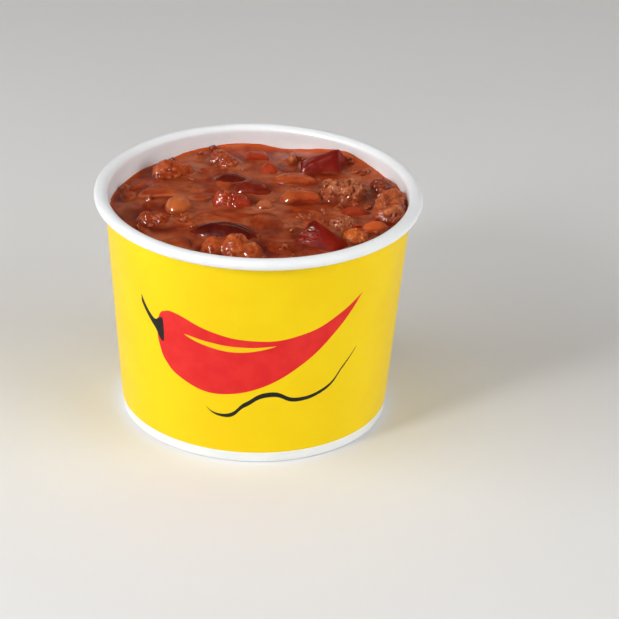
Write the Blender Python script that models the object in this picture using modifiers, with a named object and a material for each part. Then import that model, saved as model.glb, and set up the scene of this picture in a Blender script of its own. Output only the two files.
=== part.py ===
"""Chili con carne in a round paper food cup.

A folded and rolled paper cup (side wall with a rolled rim and a turned-in
hem, and a recessed base disc) filled with thick chili. The stew is one solid
up to its uneven surface, and the beans, beef and tomato pieces that stand
out of it are solids of their own, each resting in a pocket of the stew.

Units are metres, +Z is up, and the origin is the centre of the foot of the
cup, on the surface that it stands on. -Y is the printed front.
"""

import math

import bmesh
import bpy
from mathutils import Euler, Matrix, Vector, noise

MM = 0.001

# ---- driving dimensions -------------------------------------------------
RIM_R = 45.5 * MM            # outside radius of the rolled rim
CUP_H = 65.8 * MM            # height of the cup
BEAD_HALF_W = 1.9 * MM       # rolled rim, half its width
BEAD_HALF_H = 1.6 * MM       # rolled rim, half its height
WALL_R_FOOT = 37.1 * MM      # outside radius of the side wall at the foot
WALL_R_TOP = 42.65 * MM      # outside radius of the side wall under the rim
WALL_T = 0.5 * MM            # coated paper board
HEM_H = 5.4 * MM             # height of the turned-in hem
FOOT_ROUND = 0.4 * MM        # rounding of the fold at the foot
BASE_Z = 7.0 * MM            # underside of the recessed base disc
BASE_T = 0.45 * MM
BASE_SKIRT_Z = 1.1 * MM      # lower edge of the base disc's skirt
GAP = 0.3 * MM               # clearance between neighbouring solids
PLY_GAP = 0.25 * MM          # clearance between the plies at the hem
SEGMENTS = 48                # sides of a turned part

STEW_LEVEL = 59.3 * MM       # mean level of the sauce
STEW_RINGS = 9
POCKET_GAP = 0.36 * MM       # how far a pocket stands off its piece


# ---- helpers ------------------------------------------------------------
def wall_outer_r(z):
    """Outside radius of the conical wall at height z."""
    share = z / (CUP_H - BEAD_HALF_H)
    return WALL_R_FOOT + (WALL_R_TOP - WALL_R_FOOT) * share


def wall_inner_r(z):
    return wall_outer_r(z) - WALL_T


def material(name, colour, roughness, metallic=0.0):
    found = bpy.data.materials.get(name)
    if found:
        return found
    made = bpy.data.materials.new(name)
    made.use_nodes = True
    shader = made.node_tree.nodes["Principled BSDF"]
    shader.inputs["Base Color"].default_value = (*colour, 1.0)
    shader.inputs["Roughness"].default_value = roughness
    shader.inputs["Metallic"].default_value = metallic
    made.diffuse_color = (*colour, 1.0)
    return made


def collection(name, hidden=False):
    made = bpy.data.collections.new(name)
    bpy.context.scene.collection.children.link(made)
    made.hide_render = hidden
    return made


def add_object(name, mesh, into, mat=None, parent=None):
    made = bpy.data.objects.new(name, mesh)
    into.objects.link(made)
    if mat:
        mesh.materials.append(mat)
    made.parent = parent
    return made


def evaluated_mesh(obj, name):
    """The object's mesh with its modifiers applied, and its loose seams welded."""
    graph = bpy.context.evaluated_depsgraph_get()
    mesh = bpy.data.meshes.new_from_object(obj.evaluated_get(graph), depsgraph=graph)
    mesh.name = name
    bm = bmesh.new()
    bm.from_mesh(mesh)
    bmesh.ops.remove_doubles(bm, verts=bm.verts, dist=1e-6)
    bmesh.ops.recalc_face_normals(bm, faces=bm.faces)
    bm.to_mesh(mesh)
    bm.free()
    return mesh


def turned(name, profile, closed, into, mat, parent=None):
    """A profile of (radius, height) points turned about Z with a Screw modifier."""
    mesh = bpy.data.meshes.new(name)
    points = [(r, 0.0, z) for r, z in profile]
    edges = [(i, i + 1) for i in range(len(points) - 1)]
    if closed:
        edges.append((len(points) - 1, 0))
    mesh.from_pydata(points, edges, [])
    made = add_object(name, mesh, into, mat, parent)
    screw = made.modifiers.new("turn", "SCREW")
    screw.axis = "Z"
    screw.angle = 2 * math.pi
    screw.steps = screw.render_steps = SEGMENTS
    screw.use_merge_vertices = True
    screw.merge_threshold = 0.00001
    screw.use_smooth_shade = True
    return made


def arc(cx, cz, rx, rz, start, end, steps):
    """Points on an ellipse in the (radius, height) plane, from start to end degrees."""
    points = []
    for i in range(steps + 1):
        a = math.radians(start + (end - start) * i / steps)
        points.append((cx + rx * math.cos(a), cz + rz * math.sin(a)))
    return points


# ---- the cup ------------------------------------------------------------
def wall_profile():
    """Section of the side wall: rolled rim, conical wall, and the hem turned in round the base disc's skirt."""
    bead_r, bead_z = RIM_R - BEAD_HALF_W, CUP_H - BEAD_HALF_H
    hem_out = wall_inner_r(0.0) - 2 * PLY_GAP - BASE_T   # outer face of the hem's inner ply
    hem_in = hem_out - WALL_T
    lean = wall_outer_r(HEM_H) - wall_outer_r(0.0)       # the hem leans out with the wall
    slot_z = BASE_SKIRT_Z - PLY_GAP
    # the rolled rim, from its inner side over the top, down outside and back to the wall
    profile = arc(bead_r, bead_z, BEAD_HALF_W, BEAD_HALF_H, 180, -120, 10)
    # the outside of the wall, down to the foot
    profile += [
        (wall_outer_r(bead_z - 1.2 * BEAD_HALF_H), bead_z - 1.2 * BEAD_HALF_H),
        (wall_outer_r(FOOT_ROUND * 1.6), FOOT_ROUND * 1.6),
        (wall_outer_r(0.0) - 0.25 * FOOT_ROUND, 0.35 * FOOT_ROUND),
        (wall_outer_r(0.0) - FOOT_ROUND, 0.0),
        (hem_in + FOOT_ROUND, 0.0),
        (hem_in + 0.25 * FOOT_ROUND, 0.35 * FOOT_ROUND),
        (hem_in + lean * 0.1, FOOT_ROUND * 1.6),
    ]
    # the hem's inner ply, up to its cut edge and down inside the slot
    profile += [
        (hem_in + lean, HEM_H),
        (hem_out + lean, HEM_H),
        (hem_out + lean * slot_z / HEM_H, slot_z),
        (wall_inner_r(slot_z), slot_z),
    ]
    # the inside of the wall, back up to the rim
    profile += [(wall_inner_r(bead_z - 1.3 * BEAD_HALF_H), bead_z - 1.3 * BEAD_HALF_H)]
    return profile


def base_profile():
    """Section of the base disc, from the axis out over the top, round the corner, down the skirt, and back underneath."""
    top = BASE_Z + BASE_T
    round_r = 0.9 * MM

    def skirt_out(z):
        return wall_inner_r(z) - PLY_GAP

    edge = skirt_out(top)
    profile = [(0.0, top), (edge - round_r, top)]
    profile += [(edge - 0.3 * round_r, top - 0.25 * round_r), (skirt_out(top - round_r), top - round_r)]
    profile += [(skirt_out(BASE_SKIRT_Z), BASE_SKIRT_Z)]
    profile += [(skirt_out(BASE_SKIRT_Z) - BASE_T, BASE_SKIRT_Z)]
    profile += [(skirt_out(top - round_r) - BASE_T, top - round_r)]
    profile += [(edge - round_r - 0.1 * BASE_T, BASE_Z), (0.0, BASE_Z)]
    return profile


# ---- the stew -----------------------------------------------------------
# Pieces that the sauce covers all over, as soft mounds of its surface:
# x, y, half length, half width, direction in degrees, height (mm).
MOUNDS = (
    (-26.0, 9.5, 7.5, 4.5, 12, 1.3),
    (2.6, -7.8, 6.5, 4.5, -20, 1.4),
    (7.5, -23.5, 6.5, 4.5, 10, 1.5),
    (-35.0, 10.5, 4.0, 6.5, 10, 0.9),
    (-22.5, -21.5, 6.0, 4.5, -30, 0.9),
    (11.5, 33.6, 6.0, 4.0, -10, 0.9),
    (-18.5, 35.0, 6.0, 3.0, 25, 0.7),
    (27.5, -26.5, 6.0, 4.0, 40, 0.8),
    (-14.5, 10.5, 5.5, 3.2, -8, 0.7),
    (-35.0, -14.0, 4.5, 3.5, -60, 0.7),
    (32.0, 25.5, 6.0, 3.5, -50, 0.8),
    (13.0, -1.5, 6.0, 3.5, 15, 0.6),
)

# Where the sauce stands higher or lower along the wall: direction in degrees
# (0 is +X, 90 is the back), height (mm), spread in degrees.
WALL_RISES = (
    (160, -1.2, 32),
    (99, 1.0, 14),
    (80, -0.9, 5),
    (54, 2.5, 9),
    (22, 0.6, 7),
    (4, -0.5, 9),
    (-60, 0.4, 25),
)


def wall_climb(angle):
    """How far the sauce stands above its mean level where it meets the wall, by direction."""
    degrees = math.degrees(angle)
    rise = 0.0
    for middle, height, spread in WALL_RISES:
        off = (degrees - middle + 180) % 360 - 180
        rise += height * math.exp(-0.5 * (off / spread) ** 2)
    return rise * MM


def stew_height(x, y):
    """Height of the sauce over the table at x, y."""
    r, angle = math.hypot(x, y), math.atan2(y, x)
    share = min(1.0, r / wall_inner_r(STEW_LEVEL))
    z = STEW_LEVEL + wall_climb(angle) * share**4 + 0.25 * MM * (1 - share**2)
    for mx, my, half_l, half_w, turn, rise in MOUNDS:
        c, s = math.cos(math.radians(turn)), math.sin(math.radians(turn))
        dx, dy = x / MM - mx, y / MM - my
        u, v = (c * dx + s * dy) / half_l, (-s * dx + c * dy) / half_w
        z += rise * MM * math.exp(-1.1 * (u * u + v * v))
    z += 0.35 * MM * noise.noise(Vector((x, y, 0.0)) / (7 * MM) + Vector((3.1, 7.7, 0.4)))
    return z


def build_stew(into, helpers, mat, parent):
    """The stew as a turned block inside the cup, its top raised to the uneven level of the sauce."""
    floor_z = BASE_Z + BASE_T + GAP
    profile = [(0.0, STEW_LEVEL)]
    top_r = wall_inner_r(STEW_LEVEL) - GAP
    for i in range(1, STEW_RINGS + 1):
        profile.append((top_r * i / STEW_RINGS, STEW_LEVEL))
    corner = 1.2 * MM
    profile += [
        (wall_inner_r(floor_z + corner) - GAP, floor_z + corner),
        (wall_inner_r(floor_z) - GAP - corner, floor_z),
        (0.0, floor_z),
    ]
    block = turned("stew_block", profile, False, helpers, None)
    mesh = evaluated_mesh(block, "stew")
    bpy.data.objects.remove(block)
    for v in mesh.vertices:
        if v.co.z > STEW_LEVEL - 0.1 * MM:
            z = stew_height(v.co.x, v.co.y)
            r = math.hypot(v.co.x, v.co.y)
            if r > top_r - 0.1 * MM:  # the edge stays just inside the leaning wall
                k = (wall_inner_r(z) - GAP) / r
                v.co.x *= k
                v.co.y *= k
            v.co.z = z
    return add_object("stew", mesh, into, mat, parent)


# ---- pieces in the stew -------------------------------------------------
def facets(length):
    """Coarser facets on the smaller pieces."""
    return {"u_segments": 10, "v_segments": 7} if length > 10.7 * MM else {"u_segments": 8, "v_segments": 6}


def bean_mesh(name, length, width, height, bend):
    """A kidney-shaped bean: a stretched sphere bowed along its length, with the small dent of its eye."""
    bm = bmesh.new()
    bmesh.ops.create_uvsphere(bm, radius=1.0, **facets(length))
    bm.transform(Matrix.Rotation(math.pi / 2, 4, "Y"))
    for v in bm.verts:
        x, y, z = v.co
        end = 1 - 0.16 * x * x
        dent = 0.10 * math.exp(-5 * x * x) * max(0.0, -y)
        v.co = Vector((
            x * length / 2,
            (y * end + dent) * width / 2 - bend * (x * x - 0.35),
            z * end * height / 2,
        ))
    return finish(bm, name)


def beef_mesh(name, length, width, height, lump, seed):
    """A crumbled lump of ground beef: a sphere pushed in and out by smooth noise, its faces left uneven."""
    bm = bmesh.new()
    bmesh.ops.create_uvsphere(bm, radius=1.0, **facets(length))
    for v in bm.verts:
        d = v.co.normalized()
        box = max(abs(d.x), abs(d.y), abs(d.z))
        k = 0.86 + 0.22 * (1 / box - 1)
        k += lump * noise.noise(d * 1.7 + Vector((seed, 2.3 * seed, 0.7)))
        v.co = Vector((d.x * k * length / 2, d.y * k * width / 2, d.z * k * height / 2))
    return finish(bm, name)


def tomato_mesh(name, length, width, height, taper, skew):
    """A soft cooked wedge of tomato: a tapered, skewed block whose corners Subdivision Surface rounds off."""
    bm = bmesh.new()
    bmesh.ops.create_cube(bm, size=2.0)
    for v in bm.verts:
        x, y, z = v.co
        top = 1 - taper if z > 0 else 1.0
        v.co = Vector((
            x * top * length / 2 + skew * z * length / 2,
            y * (top + 0.12 * x) * width / 2,
            z * (1 + 0.18 * x) * height / 2,
        )) * 1.22
    mesh = bpy.data.meshes.new(name + "_cage")
    bm.to_mesh(mesh)
    bm.free()
    cage = bpy.data.objects.new(name + "_cage", mesh)
    bpy.context.scene.collection.objects.link(cage)
    soft = cage.modifiers.new("soft", "SUBSURF")
    soft.levels = soft.render_levels = 2
    bm = bmesh.new()
    bm.from_mesh(evaluated_mesh(cage, name + "_soft"))
    bpy.data.objects.remove(cage)
    return finish(bm, name)


def finish(bm, name):
    bmesh.ops.triangulate(bm, faces=bm.faces)
    bmesh.ops.recalc_face_normals(bm, faces=bm.faces)
    if bm.calc_volume(signed=True) < 0:
        bmesh.ops.reverse_faces(bm, faces=bm.faces)
    mesh = bpy.data.meshes.new(name)
    bm.to_mesh(mesh)
    bm.free()
    return mesh


# name, kind, x, y, height of its middle over the mean sauce level, size
# along, across and up (all mm), yaw, tilt along, tilt across (degrees), shape.
PIECES = (
    ("kidney_bean_1", "kidney", -8.6, -15.4, -0.6, (18.5, 9.0, 7.0), -8, 0, 12, 2.2),
    ("kidney_bean_2", "kidney", -7.6, 18.8, -1.0, (11.0, 6.6, 5.4), 4, 3, 0, 0.8),
    ("kidney_bean_3", "kidney", -1.9, 12.4, -0.9, (10.6, 6.2, 5.2), -6, -4, 8, 0.7),
    ("kidney_bean_4", "red_bean", 12.2, 7.0, -0.5, (11.8, 6.8, 5.8), 3, 0, 6, 1.0),
    ("kidney_bean_5", "red_bean", 9.8, 18.4, -0.6, (13.6, 6.4, 5.2), -3, -2, 5, 1.0),
    ("kidney_bean_6", "red_bean", 26.4, -0.8, -1.0, (11.0, 5.6, 5.2), 2, 0, 0, 0.6),
    ("pinto_bean_1", "pinto", -22.4, -0.8, 0.3, (8.6, 7.2, 6.8), 62, 8, 0, 0.3),
    ("pinto_bean_2", "pinto", 32.0, -10.6, -0.3, (8.4, 6.0, 5.4), 20, 0, 4, 0.4),
    ("pinto_bean_3", "pinto", 1.4, 1.4, -0.1, (5.4, 4.8, 4.6), 10, 0, 0, 0.2),
    ("beef_chunk_1", "beef", -6.4, -27.0, 0.3, (18.5, 10.4, 9.4), -4, 0, 0, 3.1),
    ("beef_chunk_2", "beef", 23.4, 9.6, 0.6, (12.6, 9.4, 9.0), 20, 0, 0, 7.4),
    ("beef_chunk_3", "beef", 36.7, 1.4, 0.1, (15.6, 8.8, 9.4), 80, 0, 0, 5.9),
    ("beef_chunk_4", "beef", 34.5, 15.0, -0.1, (10.4, 7.0, 6.4), -58, 0, 0, 1.6),
    ("beef_chunk_5", "beef", -24.6, 22.4, 0.2, (11.8, 9.0, 7.6), 14, 0, 0, 8.8),
    ("beef_chunk_6", "beef", -28.6, -8.0, -0.2, (8.0, 6.8, 5.8), 40, 0, 0, 2.7),
    ("beef_chunk_7", "beef", -9.8, 30.6, -0.1, (9.8, 7.8, 6.6), -20, 0, 0, 9.5),
    ("beef_chunk_8", "beef", 27.4, -17.6, -0.1, (7.8, 6.6, 6.2), 15, 0, 0, 4.4),
    ("beef_chunk_9", "beef", 23.6, -8.4, -0.4, (8.6, 6.4, 5.8), -12, 0, 0, 6.3),
    ("tomato_chunk_1", "tomato", 18.2, 27.4, 0.4, (16.4, 11.6, 8.6), -12, 0, 8, 0.42),
    ("tomato_chunk_2", "tomato", 16.4, -18.2, -0.1, (15.6, 11.4, 8.8), -38, 8, -6, 0.38),
    ("tomato_chunk_3", "tomato", -7.6, 3.6, -0.1, (14.4, 9.0, 7.0), 4, 0, 0, 0.36),
    ("tomato_chunk_4", "tomato", -0.9, 34.0, 0.0, (9.2, 6.6, 6.2), 10, 0, 0, 0.40),
    ("tomato_chunk_5", "tomato", 2.6, 25.6, 0.0, (9.0, 7.2, 6.4), -8, 0, 0, 0.52),
)

KINDS = {
    "kidney": ("kidney_bean_skin", (0.085, 0.012, 0.010), 0.18),
    "red_bean": ("red_bean_skin", (0.300, 0.035, 0.012), 0.22),
    "pinto": ("pinto_bean_skin", (0.420, 0.125, 0.030), 0.22),
    "beef": ("ground_beef", (0.270, 0.085, 0.034), 0.38),
    "tomato": ("tomato_flesh", (0.260, 0.014, 0.008), 0.16),
}


def piece_mesh(name, kind, size, shape):
    length, width, height = (s * MM for s in size)
    if kind == "beef":
        return beef_mesh(name, length, width, height, 0.34, shape)
    if kind == "tomato":
        return tomato_mesh(name, length, width, height, shape, 0.10)
    return bean_mesh(name, length, width, height, shape * MM)


def swollen(mesh, name, by):
    """A copy of a mesh whose points stand off along their normals: the cutter for the piece's pocket."""
    made = mesh.copy()
    made.name = name
    bm = bmesh.new()
    bm.from_mesh(made)
    bm.normal_update()
    moved = [v.co + v.normal * by for v in bm.verts]
    for v, co in zip(bm.verts, moved):
        v.co = co
    bm.to_mesh(made)
    bm.free()
    return made


def main():
    for obj in list(bpy.data.objects):
        bpy.data.objects.remove(obj)
    parts = collection("chili_con_carne")
    helpers = collection("cutters", hidden=True)
    root = bpy.data.objects.new("chili_cup", None)
    parts.objects.link(root)

    board = material("white_board", (0.80, 0.79, 0.77), 0.45)
    print_coat = material("yellow_print", (0.90, 0.68, 0.02), 0.35)
    sauce = material("chili_sauce", (0.235, 0.050, 0.018), 0.22)

    turned("cup_wall", wall_profile(), True, parts, print_coat, root)
    turned("cup_base", base_profile(), False, parts, board, root)
    stew = build_stew(parts, helpers, sauce, root)

    for name, kind, x, y, rise, size, yaw, tilt, lean, shape in PIECES:
        place = Vector((x * MM, y * MM, STEW_LEVEL + rise * MM))
        turn = Euler((math.radians(lean), math.radians(tilt), math.radians(yaw)), "XYZ")
        mesh = piece_mesh(name, kind, size, shape)
        piece = add_object(name, mesh, parts, material(*KINDS[kind]), root)
        piece.location, piece.rotation_euler = place, turn
        mesh.shade_smooth()
        cutter = add_object(name + "_pocket", swollen(mesh, name + "_pocket", POCKET_GAP), helpers)
        cutter.location, cutter.rotation_euler = place, turn
        cutter.hide_render, cutter.display_type = True, "WIRE"
        cut = stew.modifiers.new(name + "_pocket", "BOOLEAN")
        cut.operation, cut.solver, cut.object = "DIFFERENCE", "EXACT", cutter
    bpy.context.view_layer.update()


main()
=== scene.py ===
"""Looks of the chili con carne in its paper cup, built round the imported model.

Lengths in the making of shapes are in millimetres and become metres when a
mesh is made. Directions round the cup are in degrees: 0 is +X, 90 is +Y (the
back) and -90 is the printed front.
"""

import math

import bmesh
import bpy
import numpy as np
from mathutils import Euler, Matrix, Vector, noise
from mathutils.bvhtree import BVHTree


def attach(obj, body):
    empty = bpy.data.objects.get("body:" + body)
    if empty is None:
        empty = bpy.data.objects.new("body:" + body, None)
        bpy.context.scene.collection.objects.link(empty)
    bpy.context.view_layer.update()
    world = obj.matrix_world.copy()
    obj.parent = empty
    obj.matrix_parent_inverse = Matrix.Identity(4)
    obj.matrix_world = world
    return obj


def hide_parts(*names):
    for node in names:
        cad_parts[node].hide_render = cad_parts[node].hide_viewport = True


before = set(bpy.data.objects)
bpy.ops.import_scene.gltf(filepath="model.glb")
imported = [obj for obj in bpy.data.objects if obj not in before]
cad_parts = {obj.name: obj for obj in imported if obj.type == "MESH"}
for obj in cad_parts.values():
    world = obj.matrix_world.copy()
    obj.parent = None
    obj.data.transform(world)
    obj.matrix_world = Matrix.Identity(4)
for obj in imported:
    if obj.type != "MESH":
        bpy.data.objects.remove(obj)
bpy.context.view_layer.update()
scene = bpy.context.scene

# ---- sizes shared with the CAD model (mm) -----------------------------------
RIM_R = 45.5
CUP_H = 65.8
BEAD_A = 1.9
BEAD_B = 1.6
R_FOOT = 37.1
R_TOP = 42.65
WALL_T = 0.5
HEM_H = 5.4
BASE_Z = 7.0
BASE_T = 0.45
BASE_SKIRT_Z = 1.1
PRINT_FOOT = 3.2
LEVEL = 59.3
BEAD_R = RIM_R - BEAD_A
BEAD_Z = CUP_H - BEAD_B


def outer_r(z):
    return R_FOOT + (R_TOP - R_FOOT) * z / BEAD_Z


def inner_r(z):
    return outer_r(z) - WALL_T


# ---- noise on arrays ----------------------------------------------------------
def _hash(ix, iy, iz, seed):
    h = (ix.astype(np.int64) * 374761393 + iy.astype(np.int64) * 668265263 + iz.astype(np.int64) * 1440662683 + seed * 1274126177) & 0xFFFFFFFF
    h = ((h ^ (h >> 13)) * 1274126177) & 0xFFFFFFFF
    h = ((h ^ (h >> 16)) * 2246822519) & 0xFFFFFFFF
    return ((h ^ (h >> 13)) & 0xFFFFFF) / float(0x1000000)


def vnoise(p, seed=0):
    """Smooth noise in -1..1 at points p (N, 3)."""
    i = np.floor(p).astype(np.int64)
    f = p - i
    u = f * f * f * (f * (f * 6 - 15) + 10)
    out = np.zeros(len(p))
    for dx in (0, 1):
        wx = u[:, 0] if dx else 1 - u[:, 0]
        for dy in (0, 1):
            wy = u[:, 1] if dy else 1 - u[:, 1]
            for dz in (0, 1):
                wz = u[:, 2] if dz else 1 - u[:, 2]
                out += wx * wy * wz * _hash(i[:, 0] + dx, i[:, 1] + dy, i[:, 2] + dz, seed)
    return out * 2 - 1


def fbm(p, seed=0, octaves=3, gain=0.5):
    out, amp, total = np.zeros(len(p)), 1.0, 0.0
    for k in range(octaves):
        out += amp * vnoise(p * 2.03**k + 17.3 * k, seed + 31 * k)
        total += amp
        amp *= gain
    return out / total


def worley(p, seed=0, jitter=0.9):
    """Distance to the nearest and to the second nearest of one point per unit cell."""
    i = np.floor(p).astype(np.int64)
    f1 = np.full(len(p), 9.0)
    f2 = np.full(len(p), 9.0)
    for dx in (-1, 0, 1):
        for dy in (-1, 0, 1):
            for dz in (-1, 0, 1):
                cx, cy, cz = i[:, 0] + dx, i[:, 1] + dy, i[:, 2] + dz
                q = np.stack([
                    cx + 0.5 + jitter * (_hash(cx, cy, cz, seed) - 0.5),
                    cy + 0.5 + jitter * (_hash(cx, cy, cz, seed + 7) - 0.5),
                    cz + 0.5 + jitter * (_hash(cx, cy, cz, seed + 13) - 0.5),
                ], -1)
                d = np.sqrt(((p - q) ** 2).sum(1))
                nearer = d < f1
                f2 = np.where(nearer, f1, np.minimum(f2, d))
                f1 = np.where(nearer, d, f1)
    return f1, f2


def smoothstep(a, b, x):
    t = np.clip((x - a) / (b - a), 0, 1)
    return t * t * (3 - 2 * t)


def smax(a, b, k):
    """Larger of two fields, with the crease between them rounded over k."""
    h = np.clip(k - np.abs(a - b), 0, None) / k
    return np.maximum(a, b) + h * h * k * 0.25


# ---- materials ------------------------------------------------------------------
def srgb(r, g, b):
    """Linear colour from 0..255 values."""
    out = []
    for c in (r, g, b):
        c = c / 255
        out.append(c / 12.92 if c <= 0.04045 else ((c + 0.055) / 1.055) ** 2.4)
    return (*out, 1.0)


class Nodes:
    """A short way to write node trees."""

    def __init__(self, name):
        self.mat = bpy.data.materials.new(name)
        self.mat.use_nodes = True
        self.t = self.mat.node_tree
        self.bsdf = self.t.nodes["Principled BSDF"]
        self.coord = self.t.nodes.new("ShaderNodeTexCoord").outputs["Object"]

    def put(self, value, socket):
        if isinstance(value, bpy.types.NodeSocket):
            self.t.links.new(value, socket)
        elif value is not None:
            socket.default_value = value

    def math(self, op, a, b=None, c=None, clamp=False):
        n = self.t.nodes.new("ShaderNodeMath")
        n.operation, n.use_clamp = op, clamp
        for v, s in zip((a, b, c), n.inputs):
            self.put(v, s)
        return n.outputs[0]

    def attr(self, name):
        n = self.t.nodes.new("ShaderNodeAttribute")
        n.attribute_name = name
        return n.outputs["Fac"]

    def noise(self, scale, detail=3.0, rough=0.55, distort=0.0, vector=None):
        n = self.t.nodes.new("ShaderNodeTexNoise")
        self.put(vector or self.coord, n.inputs["Vector"])
        n.inputs["Scale"].default_value = scale
        n.inputs["Detail"].default_value = detail
        n.inputs["Roughness"].default_value = rough
        n.inputs["Distortion"].default_value = distort
        return n.outputs["Fac"]

    def voronoi(self, scale, feature="F1", vector=None):
        n = self.t.nodes.new("ShaderNodeTexVoronoi")
        n.feature = feature
        self.put(vector or self.coord, n.inputs["Vector"])
        n.inputs["Scale"].default_value = scale
        return n.outputs["Distance"]

    def ramp(self, fac, stops, interpolation="EASE"):
        n = self.t.nodes.new("ShaderNodeValToRGB")
        n.color_ramp.interpolation = interpolation
        while len(n.color_ramp.elements) < len(stops):
            n.color_ramp.elements.new(0.5)
        for e, (pos, col) in zip(n.color_ramp.elements, stops):
            e.position = pos
            e.color = col if isinstance(col, tuple) else (col, col, col, 1)
        self.put(fac, n.inputs["Fac"])
        return n.outputs["Color"]

    def map(self, value, a, b, c=0.0, d=1.0, smooth=True):
        n = self.t.nodes.new("ShaderNodeMapRange")
        n.interpolation_type = "SMOOTHSTEP" if smooth else "LINEAR"
        self.put(value, n.inputs["Value"])
        for s, v in zip(("From Min", "From Max", "To Min", "To Max"), (a, b, c, d)):
            n.inputs[s].default_value = v
        return n.outputs["Result"]

    def mix(self, fac, a, b, blend="MIX"):
        n = self.t.nodes.new("ShaderNodeMix")
        n.data_type, n.blend_type = "RGBA", blend
        self.put(fac, n.inputs[0])
        self.put(a, n.inputs[6])
        self.put(b, n.inputs[7])
        return n.outputs[2]

    def bump(self, height, distance, strength=1.0, normal=None):
        n = self.t.nodes.new("ShaderNodeBump")
        self.put(height, n.inputs["Height"])
        n.inputs["Distance"].default_value = distance
        n.inputs["Strength"].default_value = strength
        if normal is not None:
            self.put(normal, n.inputs["Normal"])
        return n.outputs["Normal"]

    def out(self, **sockets):
        names = {
            "color": "Base Color", "rough": "Roughness", "normal": "Normal", "sss": "Subsurface Weight",
            "radius": "Subsurface Radius", "sss_scale": "Subsurface Scale", "coat": "Coat Weight",
            "coat_rough": "Coat Roughness", "coat_ior": "Coat IOR", "coat_normal": "Coat Normal", "spec": "Specular IOR Level", "ior": "IOR",
        }
        for key, value in sockets.items():
            self.put(value, self.bsdf.inputs[names[key]])
        return self.mat


# Sauce colours. The darkest is also laid on as painted shade, the light one partly as painted light on raised tops, and
# the palest as a painted sheen.
SAUCE_DEEP = srgb(92, 12, 2)
SAUCE = srgb(146, 46, 14)
SAUCE_LIGHT = srgb(176, 78, 36)
SAUCE_PAINTED_SHEEN = srgb(190, 112, 76)
OIL = srgb(210, 86, 14)


def sauce_material():
    n = Nodes("chili_sauce_wet")
    oil, deep, meat, pale, rise, wet = (n.attr(a) for a in ("oil", "deep", "meat", "pale", "rise", "wet"))
    swirl = n.noise(120, 3, 0.55, 1.0)
    base = n.ramp(swirl, [(0.32, srgb(124, 30, 8)), (0.46, SAUCE), (0.58, srgb(162, 62, 24)), (0.70, SAUCE_LIGHT)])
    # lighter where the sauce stands over lumps: partly the thinner sauce there, partly painted light on the raised tops
    base = n.mix(n.math("MULTIPLY", rise, 0.75), base, SAUCE_LIGHT)
    # painted shade: the sauce darkened in hollows and round the pieces, together with darker patches of random tone
    base = n.mix(n.math("MULTIPLY", deep, 0.92), base, SAUCE_DEEP)
    # painted sheen: paler sauce laid where it lies flat, round the pieces and in the light patches
    base = n.mix(n.math("MULTIPLY", pale, 0.75), base, SAUCE_PAINTED_SHEEN)
    grain = n.ramp(n.noise(380, 3, 0.55), [(0.35, srgb(130, 44, 18)), (0.55, srgb(174, 82, 40)), (0.75, srgb(196, 110, 62))])
    base = n.mix(n.math("MULTIPLY", meat, n.math("SUBTRACT", 0.7, n.math("MULTIPLY", deep, 0.5))), base, grain)
    base = n.mix(n.math("MULTIPLY", oil, 0.8), base, OIL)
    base = n.mix(0.10, base, n.ramp(n.noise(700, 3, 0.6), [(0.3, srgb(92, 26, 11)), (0.7, srgb(168, 88, 50))]))
    height = n.math("ADD", n.math("MULTIPLY", n.noise(430, 3, 0.5), 0.7), n.math("MULTIPLY", n.math("MULTIPLY", n.noise(1500, 2, 0.5), 0.3), n.math("ADD", meat, 0.15)))
    normal = n.bump(height, 0.00020, 0.6)
    return n.out(
        color=base, normal=normal, rough=n.map(n.noise(260, 2), 0.3, 0.7, 0.28, 0.44), coat=n.math("ADD", n.math("ADD", n.math("MULTIPLY", meat, 0.40), n.math("MULTIPLY", wet, 0.45)), 0.08), coat_rough=0.06, coat_ior=1.36,
        coat_normal=n.bump(n.math("ADD", n.noise(300, 2, 0.5), n.math("MULTIPLY", n.noise(1100, 2, 0.5), n.math("MULTIPLY", meat, 0.6))), 0.00022, 0.6), sss=0.14, radius=(1.0, 0.30, 0.14), sss_scale=0.0013, spec=0.07,
    )


def piece_material(name, stops, scale, sauce_mix, rough=(0.24, 0.4), bump=(900, 0.00012), sss=0.2, coat=0.6, spots=None, pit_shade_colour=srgb(92, 28, 12)):
    """Wet food: a ramp of its own colours, sauce clinging to it from the waterline up, painted shade in the pits and
    creases and painted highlights on the crests, and fine relief.
    """
    n = Nodes(name)
    own = n.ramp(n.noise(scale, 4, 0.6, 0.6), stops)
    # painted highlight: where the crest mask is high, the spots colour is laid on
    if spots:
        own = n.mix(n.math("MULTIPLY", n.attr("crest_highlight"), spots[1]), own, spots[0])
    cling = n.math("ADD", n.attr("sunk"), n.math("MULTIPLY", n.math("SUBTRACT", n.noise(330, 3, 0.6), 0.5), 1.6), clamp=True)
    own = n.mix(n.math("MULTIPLY", n.map(cling, 0.25, 0.85), sauce_mix), own, n.ramp(n.noise(240, 3), [(0.35, SAUCE_DEEP), (0.65, SAUCE)]))
    # painted shade: the pits, creases and folds darkened towards the dark colour
    own = n.mix(n.math("MULTIPLY", n.attr("pit_shade"), 0.7), own, pit_shade_colour)
    height = n.math("ADD", n.math("MULTIPLY", n.noise(bump[0], 4, 0.6), 0.7), n.math("MULTIPLY", n.noise(bump[0] * 3, 2), 0.3))
    normal = n.bump(height, bump[1], 0.7)
    return n.out(
        color=own, normal=normal, rough=n.map(n.noise(500, 2), 0.3, 0.7, *rough), coat=n.math("ADD", n.math("MULTIPLY", n.attr("crest_highlight"), 0.4), coat, clamp=True), coat_rough=0.05, coat_ior=1.42,
        coat_normal=n.bump(n.noise(600, 3), bump[1], 0.5), sss=sss, radius=(1.0, 0.4, 0.2), sss_scale=0.0012, spec=0.10,
    )


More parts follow.
